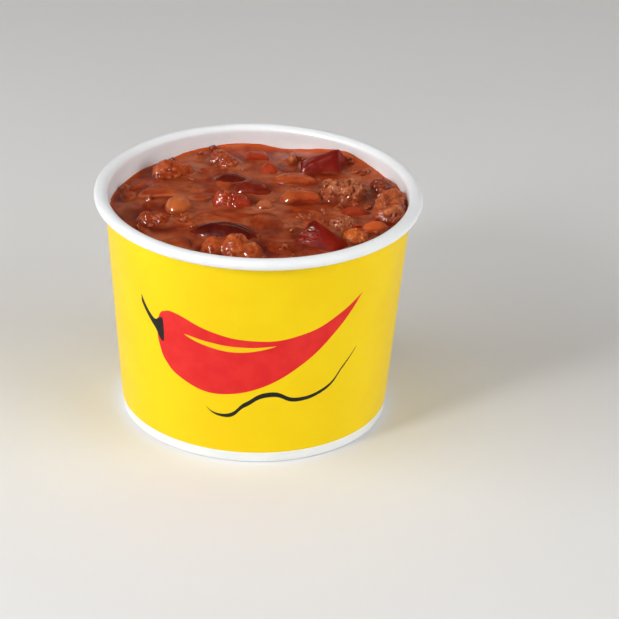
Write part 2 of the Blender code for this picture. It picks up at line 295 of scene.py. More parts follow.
def board_material(name, tint=(236, 239, 241)):
    """White coated board: a faint fibre mottle under a thin smooth film."""
    n = Nodes(name)
    fibre = n.noise(2600, 3, 0.6)
    cloud = n.noise(90, 3, 0.5)
    a = srgb(*[c - 5 for c in tint])
    b = srgb(*[min(255, c + 5) for c in tint])
    color = n.mix(0.4, n.ramp(cloud, [(0.3, a), (0.7, b)]), n.ramp(fibre, [(0.3, a), (0.7, b)]))
    return n.out(color=color, rough=n.map(cloud, 0.3, 0.7, 0.36, 0.46), normal=n.bump(fibre, 0.00003, 0.5), coat=0.25, coat_rough=0.25, sss=0.08, radius=(1, 1, 1), sss_scale=0.001, spec=0.4)


def edge_material():
    n = Nodes("board_cut_edge")
    color = n.ramp(n.noise(3000, 3), [(0.3, srgb(196, 186, 168)), (0.7, srgb(222, 214, 200))])
    return n.out(color=color, rough=0.8, spec=0.2)


def print_material():
    """Glossy yellow print, with a red pepper that climbs to the right and a plain black line that waves below it, both drawn by distance functions on the unrolled wall."""
    n = Nodes("printed_wall")
    xyz = n.t.nodes.new("ShaderNodeSeparateXYZ")
    n.put(n.coord, xyz.inputs[0])
    x, y, z = xyz.outputs
    # along the wall in mm from the middle of the front, and height in mm
    around = n.math("ARCTAN2", x, n.math("MULTIPLY", y, -1.0))
    u = n.math("MULTIPLY", around, 40.0)
    v = n.math("MULTIPLY", z, 1000.0)

    def curve(value, points):
        c = n.t.nodes.new("ShaderNodeFloatCurve")
        c.mapping.extend = "HORIZONTAL"
        line = c.mapping.curves[0]
        while len(line.points) < len(points):
            line.points.new(0.5, 0.5)
        for p, (px, py) in zip(line.points, points):
            p.location = (px, py)
        c.mapping.update()
        n.put(value, c.inputs["Value"])
        return c.outputs[0]

    def band(u0, u1, middle, half, low, high, width):
        """1 inside a band along u whose middle line and half width are curves of the share of its length."""
        share = n.math("DIVIDE", n.math("SUBTRACT", u, u0), u1 - u0)
        mid = n.math("ADD", n.math("MULTIPLY", curve(share, middle), high - low), low)
        wide = n.math("MULTIPLY", curve(share, half), width)
        off = n.math("SUBTRACT", wide, n.math("ABSOLUTE", n.math("SUBTRACT", v, mid)))
        inside = n.map(off, -0.02, 0.06)
        ends = n.math("MULTIPLY", n.math("GREATER_THAN", share, 0.0), n.math("LESS_THAN", share, 1.0))
        return n.math("MULTIPLY", inside, ends)

    pepper = band(
        -29.0, 31.0,
        [(0.0, 0.50), (0.12, 0.40), (0.3, 0.28), (0.5, 0.30), (0.7, 0.46), (0.87, 0.72), (1.0, 1.0)],
        [(0.0, 0.0), (0.012, 0.42), (0.05, 0.80), (0.12, 0.98), (0.2, 1.0), (0.4, 0.86), (0.6, 0.62), (0.8, 0.34), (0.93, 0.14), (1.0, 0.0)],
        24.0, 50.0, 10.2,
    )
    shine = band(
        -20.0, 6.0,
        [(0.0, 0.62), (0.3, 0.50), (0.6, 0.46), (1.0, 0.56)],
        [(0.0, 0.0), (0.25, 0.8), (0.5, 1.0), (0.8, 0.6), (1.0, 0.0)],
        30.0, 44.0, 0.9,
    )
    stalk = band(
        -34.5, -26.5,
        [(0.0, 1.0), (0.35, 0.62), (0.7, 0.40), (1.0, 0.34)],
        [(0.0, 0.30), (0.3, 0.26), (0.6, 0.34), (0.8, 0.75), (0.95, 0.9), (1.0, 0.0)],
        34.0, 45.0, 4.2,
    )
    swash = band(
        -14.0, 31.0,
        [(0.0, 0.16), (0.12, 0.02), (0.26, 0.24), (0.42, 0.42), (0.58, 0.30), (0.75, 0.38), (0.9, 0.72), (1.0, 1.0)],
        [(0.0, 0.0), (0.1, 0.55), (0.3, 1.0), (0.6, 0.8), (0.85, 0.6), (1.0, 0.0)],
        14.5, 33.0, 0.8,
    )
    yellow = n.ramp(n.noise(60, 2), [(0.3, srgb(244, 207, 0)), (0.7, srgb(246, 212, 4))])
    red = n.ramp(n.noise(200, 2), [(0.3, srgb(222, 34, 36)), (0.7, srgb(230, 46, 42))])
    black = (0.012, 0.011, 0.010, 1)
    color = n.mix(pepper, yellow, red)
    color = n.mix(n.math("MULTIPLY", shine, 0.9), color, yellow)
    color = n.mix(stalk, color, black)
    color = n.mix(swash, color, black)
    fibre = n.noise(1500, 3, 0.6)
    return n.out(color=color, rough=n.map(n.noise(260, 3), 0.3, 0.7, 0.32, 0.42), normal=n.bump(fibre, 0.00003, 0.4), coat=0.06, coat_rough=0.16, spec=0.14)


# ---- mesh making ------------------------------------------------------------------
def to_mesh(name, co_mm, faces, mats, smooth=True, face_mats=None, attrs=None):
    mesh = bpy.data.meshes.new(name)
    co = np.asarray(co_mm, float) * 0.001
    mesh.from_pydata(co.tolist(), [], faces if isinstance(faces, list) else faces.tolist())
    for m in mats:
        mesh.materials.append(m)
    if face_mats is not None:
        mesh.polygons.foreach_set("material_index", np.asarray(face_mats, np.int32))
    mesh.polygons.foreach_set("use_smooth", np.full(len(mesh.polygons), smooth))
    for key, values in (attrs or {}).items():
        a = mesh.attributes.new(key, "FLOAT", "POINT")
        a.data.foreach_set("value", np.asarray(values, np.float32))
    mesh.update()
    obj = bpy.data.objects.new(name, mesh)
    scene.collection.objects.link(obj)
    return obj


def icosphere(level):
    bm = bmesh.new()
    bmesh.ops.create_icosphere(bm, subdivisions=level, radius=1.0)
    d = np.array([v.co[:] for v in bm.verts])
    f = np.array([[v.index for v in face.verts] for face in bm.faces])
    bm.free()
    return d / np.linalg.norm(d, axis=1, keepdims=True), f


ICO = {k: icosphere(k) for k in (2, 3, 4, 5, 6)}


def normals_of(co, faces):
    n = np.zeros_like(co)
    tri = co[faces]
    fn = np.cross(tri[:, 1] - tri[:, 0], tri[:, 2] - tri[:, 0])
    for k in range(3):
        np.add.at(n, faces[:, k], fn)
    return n / np.maximum(np.linalg.norm(n, axis=1, keepdims=True), 1e-12)


def lathe(name, profile, mats, slots, angles, radial=None, closed=False, attrs=None):
    """A profile of (r, z) turned through the angles, radial(r, z, angle, index) moving each point out or in. slots gives each profile span's material."""
    profile = np.asarray(profile, float)
    a = np.radians(np.asarray(angles))
    n, m = len(profile), len(a)
    R = np.repeat(profile[:, 0][:, None], m, 1)
    Z = np.repeat(profile[:, 1][:, None], m, 1)
    A = np.repeat(a[None, :], n, 0)
    if radial is not None:
        dr, dz = radial(R, Z, A)
        R = R + dr
        Z = Z + dz
    co = np.stack([R * np.cos(A), R * np.sin(A), Z], -1).reshape(-1, 3)
    faces, fm = [], []
    spans = n if closed else n - 1
    for i in range(spans):
        j = (i + 1) % n
        for k in range(m):
            l = (k + 1) % m
            faces.append([i * m + k, j * m + k, j * m + l, i * m + l])
            fm.append(slots[i])
    obj = to_mesh(name, co, faces, mats, face_mats=fm)
    bm = bmesh.new()
    bm.from_mesh(obj.data)
    bmesh.ops.remove_doubles(bm, verts=bm.verts, dist=1e-7)
    bmesh.ops.recalc_face_normals(bm, faces=bm.faces)
    bm.to_mesh(obj.data)
    bm.free()
    return obj


# ---- the cup -----------------------------------------------------------------------
SEAM = 173.0           # direction of the side seam
SEAM_WIDTH = 8.0       # degrees of overlap


def seam_angles(step):
    base = list(np.arange(0, 360, step))
    for edge in (SEAM, SEAM - SEAM_WIDTH):
        base = [b for b in base if abs(b - edge) > 0.9]
        base += [edge - 0.6, edge - 0.25, edge - 0.08, edge + 0.08, edge + 0.25, edge + 0.6]
    return sorted(base)


def seam_step(deg, edge, width=0.16):
    return smoothstep(edge - width, edge + width, deg)


def wall_radial(R, Z, A):
    """The side seam's two plies, a slight waviness of the board and the dent of the roll."""
    deg = np.degrees(A) % 360
    lap = seam_step(deg, SEAM - SEAM_WIDTH) * (1 - seam_step(deg, SEAM))
    outer = R > inner_r(np.clip(Z, 0, BEAD_Z)) + 0.3
    bead = Z > BEAD_Z - 2.2
    dr = np.where(outer, 0.26 * lap, 0.0)
    inner_lap = seam_step(deg, SEAM) * (1 - smoothstep(SEAM + SEAM_WIDTH - 2.5, SEAM + SEAM_WIDTH, deg))
    dr = dr - np.where(~outer, 0.22 * inner_lap, 0.0)
    dr = np.where(bead, 0.06 * lap, dr)
    q = np.stack([R * np.cos(A), R * np.sin(A), Z * 0.35], -1).reshape(-1, 3)
    wave = fbm(q / 22.0, 5, 2).reshape(R.shape)
    fade = smoothstep(4, 20, Z) * (1 - smoothstep(BEAD_Z - 6, BEAD_Z - 2, Z))
    dr = dr + 0.07 * wave * fade
    rim_wave = vnoise(np.stack([np.cos(A) * 3, np.sin(A) * 3, Z * 0 + 2.0], -1).reshape(-1, 3), 9).reshape(R.shape)
    dz = np.where(bead, 0.06 * rim_wave * smoothstep(BEAD_Z - 2.2, BEAD_Z, Z), 0.0)
    return dr, np.minimum(dz, CUP_H - Z) * 1.0


def build_wall():
    prof, slot = [], []

    def add(r, z, s):
        prof.append((r, z))
        slot.append(s)

    # 0 white board, 1 print, 2 cut edge; each point's slot is that of the span after it
    z_in = BASE_SKIRT_Z - 0.25
    for z in np.linspace(z_in, BEAD_Z - 3.2, 26):
        add(inner_r(z), z, 0)
    # inner side of the roll: the wall leans in a little before it curls over
    z0, r0 = BEAD_Z - 3.2, inner_r(BEAD_Z - 3.2)
    for t in (0.33, 0.66):
        k = t * t * (3 - 2 * t)
        add(r0 + (BEAD_R - BEAD_A - r0) * k, z0 + 3.2 * t, 0)
    for a in np.linspace(180, -118, 30):
        add(BEAD_R + BEAD_A * math.cos(math.radians(a)), BEAD_Z + BEAD_B * math.sin(math.radians(a)), 0)
    slot[-1] = 2
    # back round the inside of the roll, which is hollow
    for a in np.linspace(-118, 165, 22):
        add(BEAD_R + (BEAD_A - WALL_T) * math.cos(math.radians(a)), BEAD_Z + (BEAD_B - WALL_T) * math.sin(math.radians(a)), 0)
    z_top = BEAD_Z - 1.75
    add(outer_r(BEAD_Z - 0.9) + 0.02, BEAD_Z - 0.9, 0)
    for z in np.linspace(z_top, PRINT_FOOT, 30):
        add(outer_r(z), z, 1)
    slot[-1] = 0
    # the fold at the foot
    for z, r in ((2.0, 0.0), (0.9, 0.0), (0.45, 0.05), (0.18, 0.16), (0.04, 0.34), (0.0, 0.55)):
        add(outer_r(z) - r, z, 0)
    hem_out = inner_r(0) - 2 * 0.25 - BASE_T
    hem_in = hem_out - WALL_T
    lean = outer_r(HEM_H) - outer_r(0)
    for z, r in ((0.0, 0.5), (0.04, 0.3), (0.18, 0.14), (0.5, 0.02), (2.0, 0.0), (HEM_H - 0.1, 0.0)):
        add(hem_in + lean * z / HEM_H + r, z, 0)
    slot[-1] = 2
    add(hem_in + lean + 0.06, HEM_H, 2)
    add(hem_out + lean - 0.06, HEM_H, 2)
    add(hem_out + lean, HEM_H - 0.1, 0)
    add(hem_out + lean * z_in / HEM_H, z_in, 0)
    obj = lathe("cup_wall_board", prof, [board, printed, cut_edge], slot, seam_angles(2.0), wall_radial, closed=True)
    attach(obj, "root")
    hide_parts("cup_wall")
    return obj


def build_base():
    """The recessed disc: pressed a little, with its skirt down in the hem."""
    top = BASE_Z + BASE_T
    edge = inner_r(top) - 0.25
    prof = []
    for r in np.linspace(0, 31, 12):
        prof.append((r, top + 0.25 * math.cos(r / 31 * math.pi / 2) ** 2 * -1))
    for r, dz in ((32.0, 0.0), (32.6, -0.10), (33.4, -0.12), (34.0, -0.02), (34.6, 0.0)):
        prof.append((r, top + dz))
    for a in np.linspace(80, 0, 8):
        prof.append((edge - 0.95 + 0.95 * math.cos(math.radians(a)), top - 0.95 + 0.95 * math.sin(math.radians(a))))
    prof.append((inner_r(BASE_SKIRT_Z) - 0.25, BASE_SKIRT_Z))
    prof.append((inner_r(BASE_SKIRT_Z) - 0.25 - BASE_T, BASE_SKIRT_Z))
    n_skirt = len(prof) - 2
    back = []
    for a in np.linspace(0, 80, 8):
        back.append((edge - 0.95 + 0.5 * math.cos(math.radians(a)), top - 0.95 + 0.5 * math.sin(math.radians(a))))
    for r, dz in ((34.6, 0.0), (34.0, -0.02), (33.4, -0.12), (32.6, -0.10), (32.0, 0.0)):
        back.append((r, top - BASE_T + dz))
    for r in np.linspace(31, 0, 12):
        back.append((r, top - BASE_T - 0.25 * math.cos(r / 31 * math.pi / 2) ** 2))
    prof += back
    slots = [0] * (len(prof) - 1)
    slots[n_skirt] = 1
    obj = lathe("cup_base_board", prof, [board, cut_edge], slots, list(np.arange(0, 360, 3.0)))
    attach(obj, "root")
    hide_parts("cup_base")
    return obj


# ---- the pieces in the stew ---------------------------------------------------------
def place_matrix(x, y, z, yaw, tilt, lean):
    m = Euler((math.radians(lean), math.radians(tilt), math.radians(yaw)), "XYZ").to_matrix()
    return np.array(m), np.array((x, y, z), float)


def bean(size, bend, seed, level=5, wrinkle=0.10, blunt=2.0, tip=0.0):
    L, W, H = size
    d, f = ICO[level]
    x, y, z = (d / ((np.abs(d) ** blunt).sum(1) ** (1 / blunt))[:, None]).T
    end = 1 - 0.16 * x * x
    dent = 0.10 * np.exp(-5 * x * x) * np.maximum(0, -y)
    co = np.stack([x * L / 2, (y * end + dent) * W / 2 - bend * (x * x - 0.35), z * end * H / 2], -1)
    n = normals_of(co, f)
    co = co + n * (0.22 * vnoise(co / 5.0, seed) + 0.10 * vnoise(co / 2.2, seed + 3))[:, None]
    # fine creases in the skin, running mostly round the bean
    q = co * np.array([0.9, 0.35, 0.35]) + 0.6 * np.stack([vnoise(co / 3, seed + 5)] * 3, -1)
    crease = np.abs(vnoise(q, seed + 9))
    co = co - n * (wrinkle * (1 - smoothstep(0.0, 0.16, crease)) * smoothstep(-0.3, 0.3, vnoise(co / 4, seed + 11)))[:, None]
    # painted shade in the skin's creases
    pit_shade = 0.25 * (1 - smoothstep(0.0, 0.12, crease)) * min(1.0, wrinkle * 10)
    # painted highlight towards one end and over the top of the bean
    crest_highlight = tip * np.clip(smoothstep(0.30, 0.85, -x) + 0.5 * smoothstep(0.25, 0.7, z + 0.5 * vnoise(co / 2.4, seed + 13)), 0, 1)
    return co, f, pit_shade, crest_highlight


def blob(lobes, level, k=0.9):
    """A closed skin round overlapping ellipsoids, their joins rounded over k mm: each direction from the middle is followed out to where the joined form ends."""
    d, f = ICO[level]
    lo = np.array([[c[i] for c in lobes] for i in range(3)])
    r = np.array([[c[i + 3] for c in lobes] for i in range(3)])
    middle = (lo * r.prod(0)).sum(1) / r.prod(0).sum()

    def field(p):
        best = None
        for i in range(lo.shape[1]):
            e = (np.linalg.norm((p - lo[:, i]) / r[:, i], axis=1) - 1) * r[:, i].min()
            best = e if best is None else -smax(-best, -e, k)
        return best

    reach = np.abs(lo - middle[:, None]).max() + r.max() + 2
    low, high = np.zeros(len(d)), np.full(len(d), reach)
    out = np.zeros(len(d), bool)
    for t in np.linspace(reach, 0, 34):
        inside = field(middle + d * t) < 0
        first = inside & ~out
        low = np.where(first, t, low)
        high = np.where(first, t + reach / 33, high)
        out |= inside
    for _ in range(12):
        mid = (low + high) / 2
        inside = field(middle + d * mid[:, None]) < 0
        low, high = np.where(inside, mid, low), np.where(inside, high, mid)
    return middle + d * low[:, None], f


def beef(lobes, seed, level=6, crumb=1.0, pores=0.5, cell=2.8, strands=0.0):
    """A soft lump of ground beef: rounded grains that run into each other, with a few deep pores."""
    co, f = blob(lobes, level)
    n = normals_of(co, f)
    warp = co + 0.8 * np.stack([vnoise(co / 2.6, seed + s) for s in (1, 2, 3)], -1)
    f1, f2 = worley(warp / cell, seed)
    g1, g2 = worley(warp / (cell * 0.42), seed + 50)
    rise = 0.70 * (0.55 - f1) * smoothstep(0.0, 0.35, f2 - f1) + 0.26 * (0.5 - g1) + 0.42 * vnoise(co / 3.4, seed + 40) + 0.24 * vnoise(co / 1.2, seed + 41)
    h1, h2 = worley(warp / (cell * 0.8) + 11, seed + 70)
    holes = (1 - smoothstep(0.12, 0.40, h1)) * smoothstep(0.0, 0.3, vnoise(co / 3.2, seed + 42) + 0.25 * pores)
    rise = rise - 1.15 * pores * holes + 0.06 * vnoise(co / 0.5, seed + 30)
    fold = 1 - np.abs(vnoise(warp * np.array([0.5, 1.3, 1.3]) + 5, seed + 43))
    strand = strands * smoothstep(0.80, 1.0, fold)
    rise = rise + 0.5 * strand
    co = co + n * (crumb * rise)[:, None]
    # painted shade in the seams between grains and in the pores
    seam = (1 - smoothstep(0.0, 0.16, f2 - f1)) * 0.35 + (1 - smoothstep(0.0, 0.12, g2 - g1)) * 0.12
    pit_shade = np.clip(seam + 0.95 * holes * min(1.0, 2 * pores), 0, 1)
    # painted highlight on the raised grains and strands
    crest_highlight = np.clip(np.maximum(smoothstep(0.05, 0.5, rise) * (0.5 + 0.5 * vnoise(co / 0.7, seed + 44)), 1.6 * strand), 0, 1)
    return co, f, pit_shade, crest_highlight


def small_lobes(size, seed):
    """Two or three unequal lobes inside a box of this size, for the smaller lumps."""
    L, W, H = size
    rng = np.random.default_rng(seed)
    t = rng.uniform(-0.12, 0.12, 6)
    return [
        ((-0.16 + t[0]) * L, t[1] * W, 0.04 * H, 0.32 * L, 0.42 * W, 0.46 * H),
        ((0.18 + t[2]) * L, t[3] * W, -0.06 * H, 0.30 * L, 0.38 * W, 0.40 * H),
        (t[4] * L, (0.12 + t[5]) * W, -0.02 * H, 0.26 * L, 0.34 * W, 0.40 * H),
    ]


def tomato(planes, seed, level=6, sharp=9.0, crinkle=0.3, where=(0, 0, 0, 4.0), wave=0.20, below=-1.3):
    """A soft cooked wedge: flat cut sides that meet in rounded edges, with skin that has shrunk into small folds round one place. planes holds each side's direction and distance, where the folds' middle and reach."""
    d, f = ICO[level]
    total = np.zeros(len(d))
    for nx, ny, nz, dist in planes:
        nv = np.array([nx, ny, nz]) / math.sqrt(nx * nx + ny * ny + nz * nz)
        total += np.maximum(0, d @ nv / dist) ** sharp
    co = d * (total ** (-1 / sharp))[:, None]
    n = normals_of(co, f)
    near = np.exp(-((co - np.array(where[:3])) ** 2).sum(1) / where[3] ** 2)
    q = co + 0.5 * np.stack([vnoise(co / 1.6, seed + s) for s in (1, 2, 3)], -1)
    fold = 1 - np.abs(vnoise(q * np.array([0.75, 0.55, 0.75]) + 3, seed + 4))
    fine = 1 - np.abs(vnoise(q * np.array([1.5, 1.1, 1.5]) + 9, seed + 6))
    rise = wave * vnoise(co / 4.5, seed) + 0.06 * vnoise(co / 1.8, seed + 2) + crinkle * near * (smoothstep(0.60, 1.0, fold) - 0.35 + 0.55 * smoothstep(0.65, 1.0, fine) - 0.2)
    co = co + n * rise[:, None]
    # under this height, which the sauce hides, the sides draw in again
    r = np.maximum(np.hypot(co[:, 0], co[:, 1]), 1e-6)
    reach = np.full(len(co), 1e9)
    for nx, ny, nz, dist in planes:
        out = (co[:, 0] * nx + co[:, 1] * ny) / r
        size = math.sqrt(nx * nx + ny * ny + nz * nz)
        reach = np.minimum(reach, np.where(out > 0.05, (dist * size - nz * below) / np.maximum(out, 0.05), 1e9))
    reach *= 1 - 0.08 * np.maximum(0, below - co[:, 2])
    k = np.where(co[:, 2] < below, np.minimum(1, reach / r), 1.0)
    co[:, 0] *= k
    co[:, 1] *= k
    # painted shade in the folds of the skin
    pit_shade = 0.45 * (1 - smoothstep(0.45, 0.75, fold)) * near * min(1.0, crinkle * 2)
    # painted highlight on the crests of the folds
    crest_highlight = np.maximum(0.6 * smoothstep(0.80, 1.0, fold), smoothstep(0.82, 1.0, fine)) * smoothstep(-0.3, 0.4, vnoise(co / 1.1, seed + 8)) * near * min(1.0, crinkle * 2)
    return co, f, pit_shade, crest_highlight


def transform(co, place):
    m, t = place
    return co @ m.T + t


def within_wall(co):
    """Draw in whatever would reach into the board."""
    k = np.minimum(1, (inner_r(co[:, 2]) - 0.25) / np.maximum(np.hypot(co[:, 0], co[:, 1]), 1e-6))
    co = co.copy()
    co[:, 0] *= k
    co[:, 1] *= k
    return co


def pieces_table():
    P = {}

    # name, material key, mesh, place as in the CAD model
    def put(node, key, made, x, y, rise, yaw, tilt, lean):
        co, f, pit_shade, crest_highlight = made
        P[node] = (key, within_wall(transform(co, place_matrix(x, y, LEVEL + rise, yaw, tilt, lean))), f, pit_shade, crest_highlight)

    put("kidney_bean_1", "kidney", bean((21.2, 9.2, 7.2), 2.0, 11, 6, 0.05), -9.3, -15.6, -1.1, -8, 0, 10)
    put("kidney_bean_2", "kidney", bean((11.0, 6.6, 5.4), 0.8, 12), -7.6, 18.8, -1.0, 4, 3, 0)
    put("kidney_bean_3", "kidney_red", bean((11.2, 6.6, 5.8), 0.7, 13, blunt=2.7), -1.9, 12.4, -0.7, -6, -4, 8)
    put("kidney_bean_4", "red_bean", bean((11.8, 7.2, 6.2), 0.7, 14, blunt=2.5, tip=0.8), 11.8, 7.0, -0.3, 3, 0, 6)
    put("kidney_bean_5", "red_bean", bean((14.8, 6.4, 5.2), 0.7, 15, blunt=2.5, tip=0.8), 9.8, 18.4, -0.5, -3, -2, 5)
    put("kidney_bean_6", "red_bean_2", bean((11.0, 5.6, 5.2), 0.6, 16), 26.4, -0.8, -0.9, 2, 0, 0)
    put("pinto_bean_1", "pinto", bean((8.4, 7.0, 6.8), 0.2, 17, wrinkle=0.0), -22.2, -0.8, 0.3, 62, 8, 0)
    put("pinto_bean_2", "pinto_2", bean((8.4, 6.0, 5.4), 0.4, 18, wrinkle=0.05), 32.0, -10.6, -0.3, 20, 0, 4)
    put("pinto_bean_3", "pinto_3", bean((5.4, 4.8, 4.6), 0.2, 19, 4, 0.0), 1.7, 1.3, -0.1, 10, 0, 0)
    put("beef_chunk_1", "beef", beef([(-5.5, 0.0, 0.0, 3.0, 4.2, 4.2), (0.2, 0.3, 0.3, 4.0, 4.8, 4.6), (4.6, -0.5, -1.2, 3.6, 4.2, 3.8)], 21, 6, 0.9, 0.3, 2.6), -6.4, -27.0, 0.3, -4, 0, 0)
    put("beef_chunk_2", "beef_grey", beef([(-3.0, 0.4, 0.5, 3.0, 3.8, 3.9), (1.4, -0.4, 0.3, 4.8, 4.6, 4.3)], 22, 6, 1.2, 1.6, 2.0, 0.35), 23.4, 9.4, 0.8, 20, 0, 0)
    put("beef_chunk_3", "beef_ridge", beef([(0.3, 2.4, 0.6, 5.8, 1.7, 3.4), (0, -2.2, -0.2, 5.4, 1.9, 3.4), (-5.0, 0, -0.3, 2.5, 3.6, 3.2), (5.0, 0.2, 0.4, 2.6, 3.6, 3.7), (0, 0, -0.2, 5.4, 3.4, 3.0)], 23, 6, 1.1, 0.8, 1.8, 0.3), 36.7, 1.4, 0.1, 80, 0, 0)
    put("beef_chunk_4", "beef_dark", beef(small_lobes((9.8, 7.0, 6.4), 4), 24, 6, 1.2, 0.7, 1.8), 34.5, 15.2, -0.1, -58, 0, 0)
    put("beef_chunk_5", "beef_warm", beef([(-1.0, 0.2, 0.0, 4.3, 3.6, 3.7), (4.0, -0.6, -0.5, 2.2, 2.4, 2.6), (-4.0, -0.8, -0.6, 1.9, 2.2, 2.4)], 25, 6, 0.75, 0.35, 2.2), -24.6, 23.2, 0.1, 14, 0, 0)
    put("beef_chunk_6", "beef_rust", beef([(-2.4, 0.3, 0.1, 2.4, 2.7, 2.5), (1.2, -0.3, 0.0, 2.8, 2.8, 2.6), (3.6, 0.4, -0.6, 1.6, 2.0, 1.8)], 26, 6, 0.95, 0.9, 1.7), -28.2, -8.0, -0.3, 6, 0, 0)
    put("beef_chunk_7", "beef_rust", beef([(-1.8, 0.6, 0.3, 3.1, 3.2, 3.0), (1.8, -0.8, -0.4, 3.0, 3.0, 2.8)], 27, 6, 1.0, 0.7, 1.8), -9.8, 30.6, -0.1, -20, 0, 0)
    put("beef_chunk_8", "beef_gold", beef(small_lobes((7.8, 6.6, 6.2), 8), 28, 6, 1.0, 0.7, 1.7), 27.4, -17.6, -0.1, 15, 0, 0)
    put("beef_chunk_9", "beef_grey", beef(small_lobes((8.6, 6.4, 5.8), 9), 29, 6, 1.1, 1.0, 1.6, 0.3), 23.6, -8.4, -0.3, -12, 0, 0)
    bottom = (0, 0, -1, 3.2)
    put("tomato_chunk_1", "tomato", tomato([(0.05, -0.92, 0.40, 3.7), (-0.15, 0.9, 0.42, 3.6), (-0.93, -0.1, 0.35, 6.4), (0.90, -0.25, 0.36, 5.6), (-0.42, 0, 0.91, 4.3), bottom], 31, 6, 11, 0.10, (-4, -2, 1, 3.0), 0.12), 18.4, 27.2, 0.2, -6, 0, 0)
    put("tomato_chunk_2", "tomato", tomato([(0.10, -0.66, 0.75, 3.8), (0.10, 0.85, 0.5, 3.6), (-0.9, -0.1, 0.42, 6.0), (0.93, 0, 0.36, 7.4), (0.36, -0.05, 0.93, 4.3), bottom], 32, 6, 10, 0.45, (-5.0, -2.0, 3.0, 3.4), 0.15), 17.6, -19.6, -0.1, -38, 0, 0)
    put("tomato_chunk_3", "tomato_bright", tomato([(0, -0.85, 0.53, 3.4), (0.05, 0.85, 0.5, 3.3), (-0.85, 0, 0.5, 4.9), (0.8, 0, 0.6, 5.0), (0.2, 0, 0.98, 3.5), (0, 0, -1, 3.4)], 33, 6, 7, 0.5, (-0.6, -1.0, 3.4, 3.0), 0.35, -0.9), -7.6, 3.4, -0.1, 4, 0, 0)
    put("tomato_chunk_4", "tomato_orange", tomato([(0, -0.8, 0.6, 2.6), (0, 0.8, 0.6, 2.6), (-0.8, 0, 0.6, 3.6), (0.85, 0, 0.5, 3.6), (0.15, 0, 0.98, 2.7), (0, 0, -1, 3.0)], 34, 5, 8, 0.15, (0, 0, 3, 2), 0.2, -0.2), -0.9, 33.8, -0.7, 10, 0, 0)
    put("tomato_chunk_5", "tomato_orange", tomato([(0, -0.75, 0.66, 2.7), (0, 0.8, 0.6, 2.6), (-0.75, -0.1, 0.66, 3.0), (0.75, -0.1, 0.66, 3.0), (0, 0, -1, 3.0)], 35, 5, 8, 0.10, (0, 0, 3, 2), 0.2, -0.2), 2.8, 25.4, -0.8, -8, 0, 0)
    return P


# ---- the sauce ---------------------------------------------------------------------
MOUNDS = (
    (-26.0, 9.5, 7.5, 4.5, 12, 1.3),
    (2.6, -7.8, 6.5, 4.5, -20, 1.4),
    (7.5, -23.5, 6.5, 4.5, 10, 1.5),
    (-35.0, 10.5, 4.0, 6.5, 10, 0.9),
    (-22.5, -21.5, 6.0, 4.5, -30, 0.9),
    (11.5, 33.6, 6.0, 4.0, -10, 0.9),
    (-18.5, 35.0, 6.0, 3.0, 25, 0.7),
    (27.5, -26.5, 6.0, 4.0, 40, 0.8),
    (-14.5, 10.5, 5.5, 3.2, -8, 0.7),
    (-35.0, -14.0, 4.5, 3.5, -60, 0.7),
    (32.0, 25.5, 6.0, 3.5, -50, 0.8),
    (13.0, -1.5, 6.0, 3.5, 15, 0.6),
)
WALL_RISES = ((160, -1.2, 32), (99, 1.0, 14), (80, -0.9, 5), (54, 2.5, 9), (22, 0.6, 7), (4, -0.5, 9), (-60, 0.4, 25))

# Beans and lumps that the sauce covers: x, y, height of the top over the mean
# level, length, width, height, direction, kind (0 bean, 1 crumbly lump, 2 wedge)
SUNKEN = (
    (-27.0, 9.0, 1.6, 13.0, 6.4, 5.0, 14, 0),
    (-36.0, 8.0, 0.7, 6.0, 5.0, 4.0, 70, 1),
    (-34.0, 13.5, 0.8, 6.5, 4.5, 4.0, 30, 1),
    (-19.0, 13.0, 0.7, 6.0, 4.0, 3.5, -30, 1),
    (-16.0, 6.5, 0.6, 7.0, 4.0, 3.6, 10, 0),
    (2.6, -8.2, 1.9, 9.0, 7.0, 5.0, -20, 2),
    (7.4, -24.4, 1.7, 10.0, 7.0, 5.5, 6, 2),
    (-22.0, -22.0, 1.2, 10.0, 6.0, 5.0, -34, 0),
    (-31.5, -15.5, 0.7, 6.0, 4.5, 4.0, -60, 1),
    (11.0, 33.0, 1.2, 8.0, 5.0, 4.0, -6, 0),
    (-17.0, 34.0, 0.9, 7.0, 4.0, 4.0, 24, 1),
    (28.0, -26.0, 1.0, 9.0, 5.0, 4.5, 44, 2),
    (31.0, 24.5, 1.0, 7.0, 4.6, 4.0, -46, 1),
    (13.4, -1.4, 0.8, 9.0, 5.4, 4.5, 14, 0),
    (9.0, -13.2, 0.8, 8.0, 5.0, 4.5, 40, 1),
    (16.0, -7.0, 0.9, 6.0, 5.0, 4.0, 0, 1),
    (28.5, -12.0, 0.8, 5.0, 4.0, 3.5, 30, 1),
    (-14.0, -4.4, 0.5, 8.0, 4.4, 4.0, -14, 2),
    (-19.5, -9.6, 0.6, 6.0, 4.0, 3.6, 20, 1),
    (0.8, -33.5, 0.9, 7.0, 5.0, 4.2, 0, 1),
    (-16.0, -31.0, 0.8, 6.0, 4.4, 4.0, 20, 2),
    (14.0, -31.5, 0.8, 8.0, 5.0, 4.4, -14, 0),
    (-30.5, 0.6, 0.6, 7.0, 4.4, 4.0, 80, 0),
    (-15.0, 24.4, 0.6, 6.0, 4.2, 4.0, 10, 2),
    (28.0, 17.0, 0.6, 6.0, 4.0, 3.6, 30, 1),
    (3.0, 7.6, 0.4, 5.0, 3.6, 3.2, 0, 1),
)
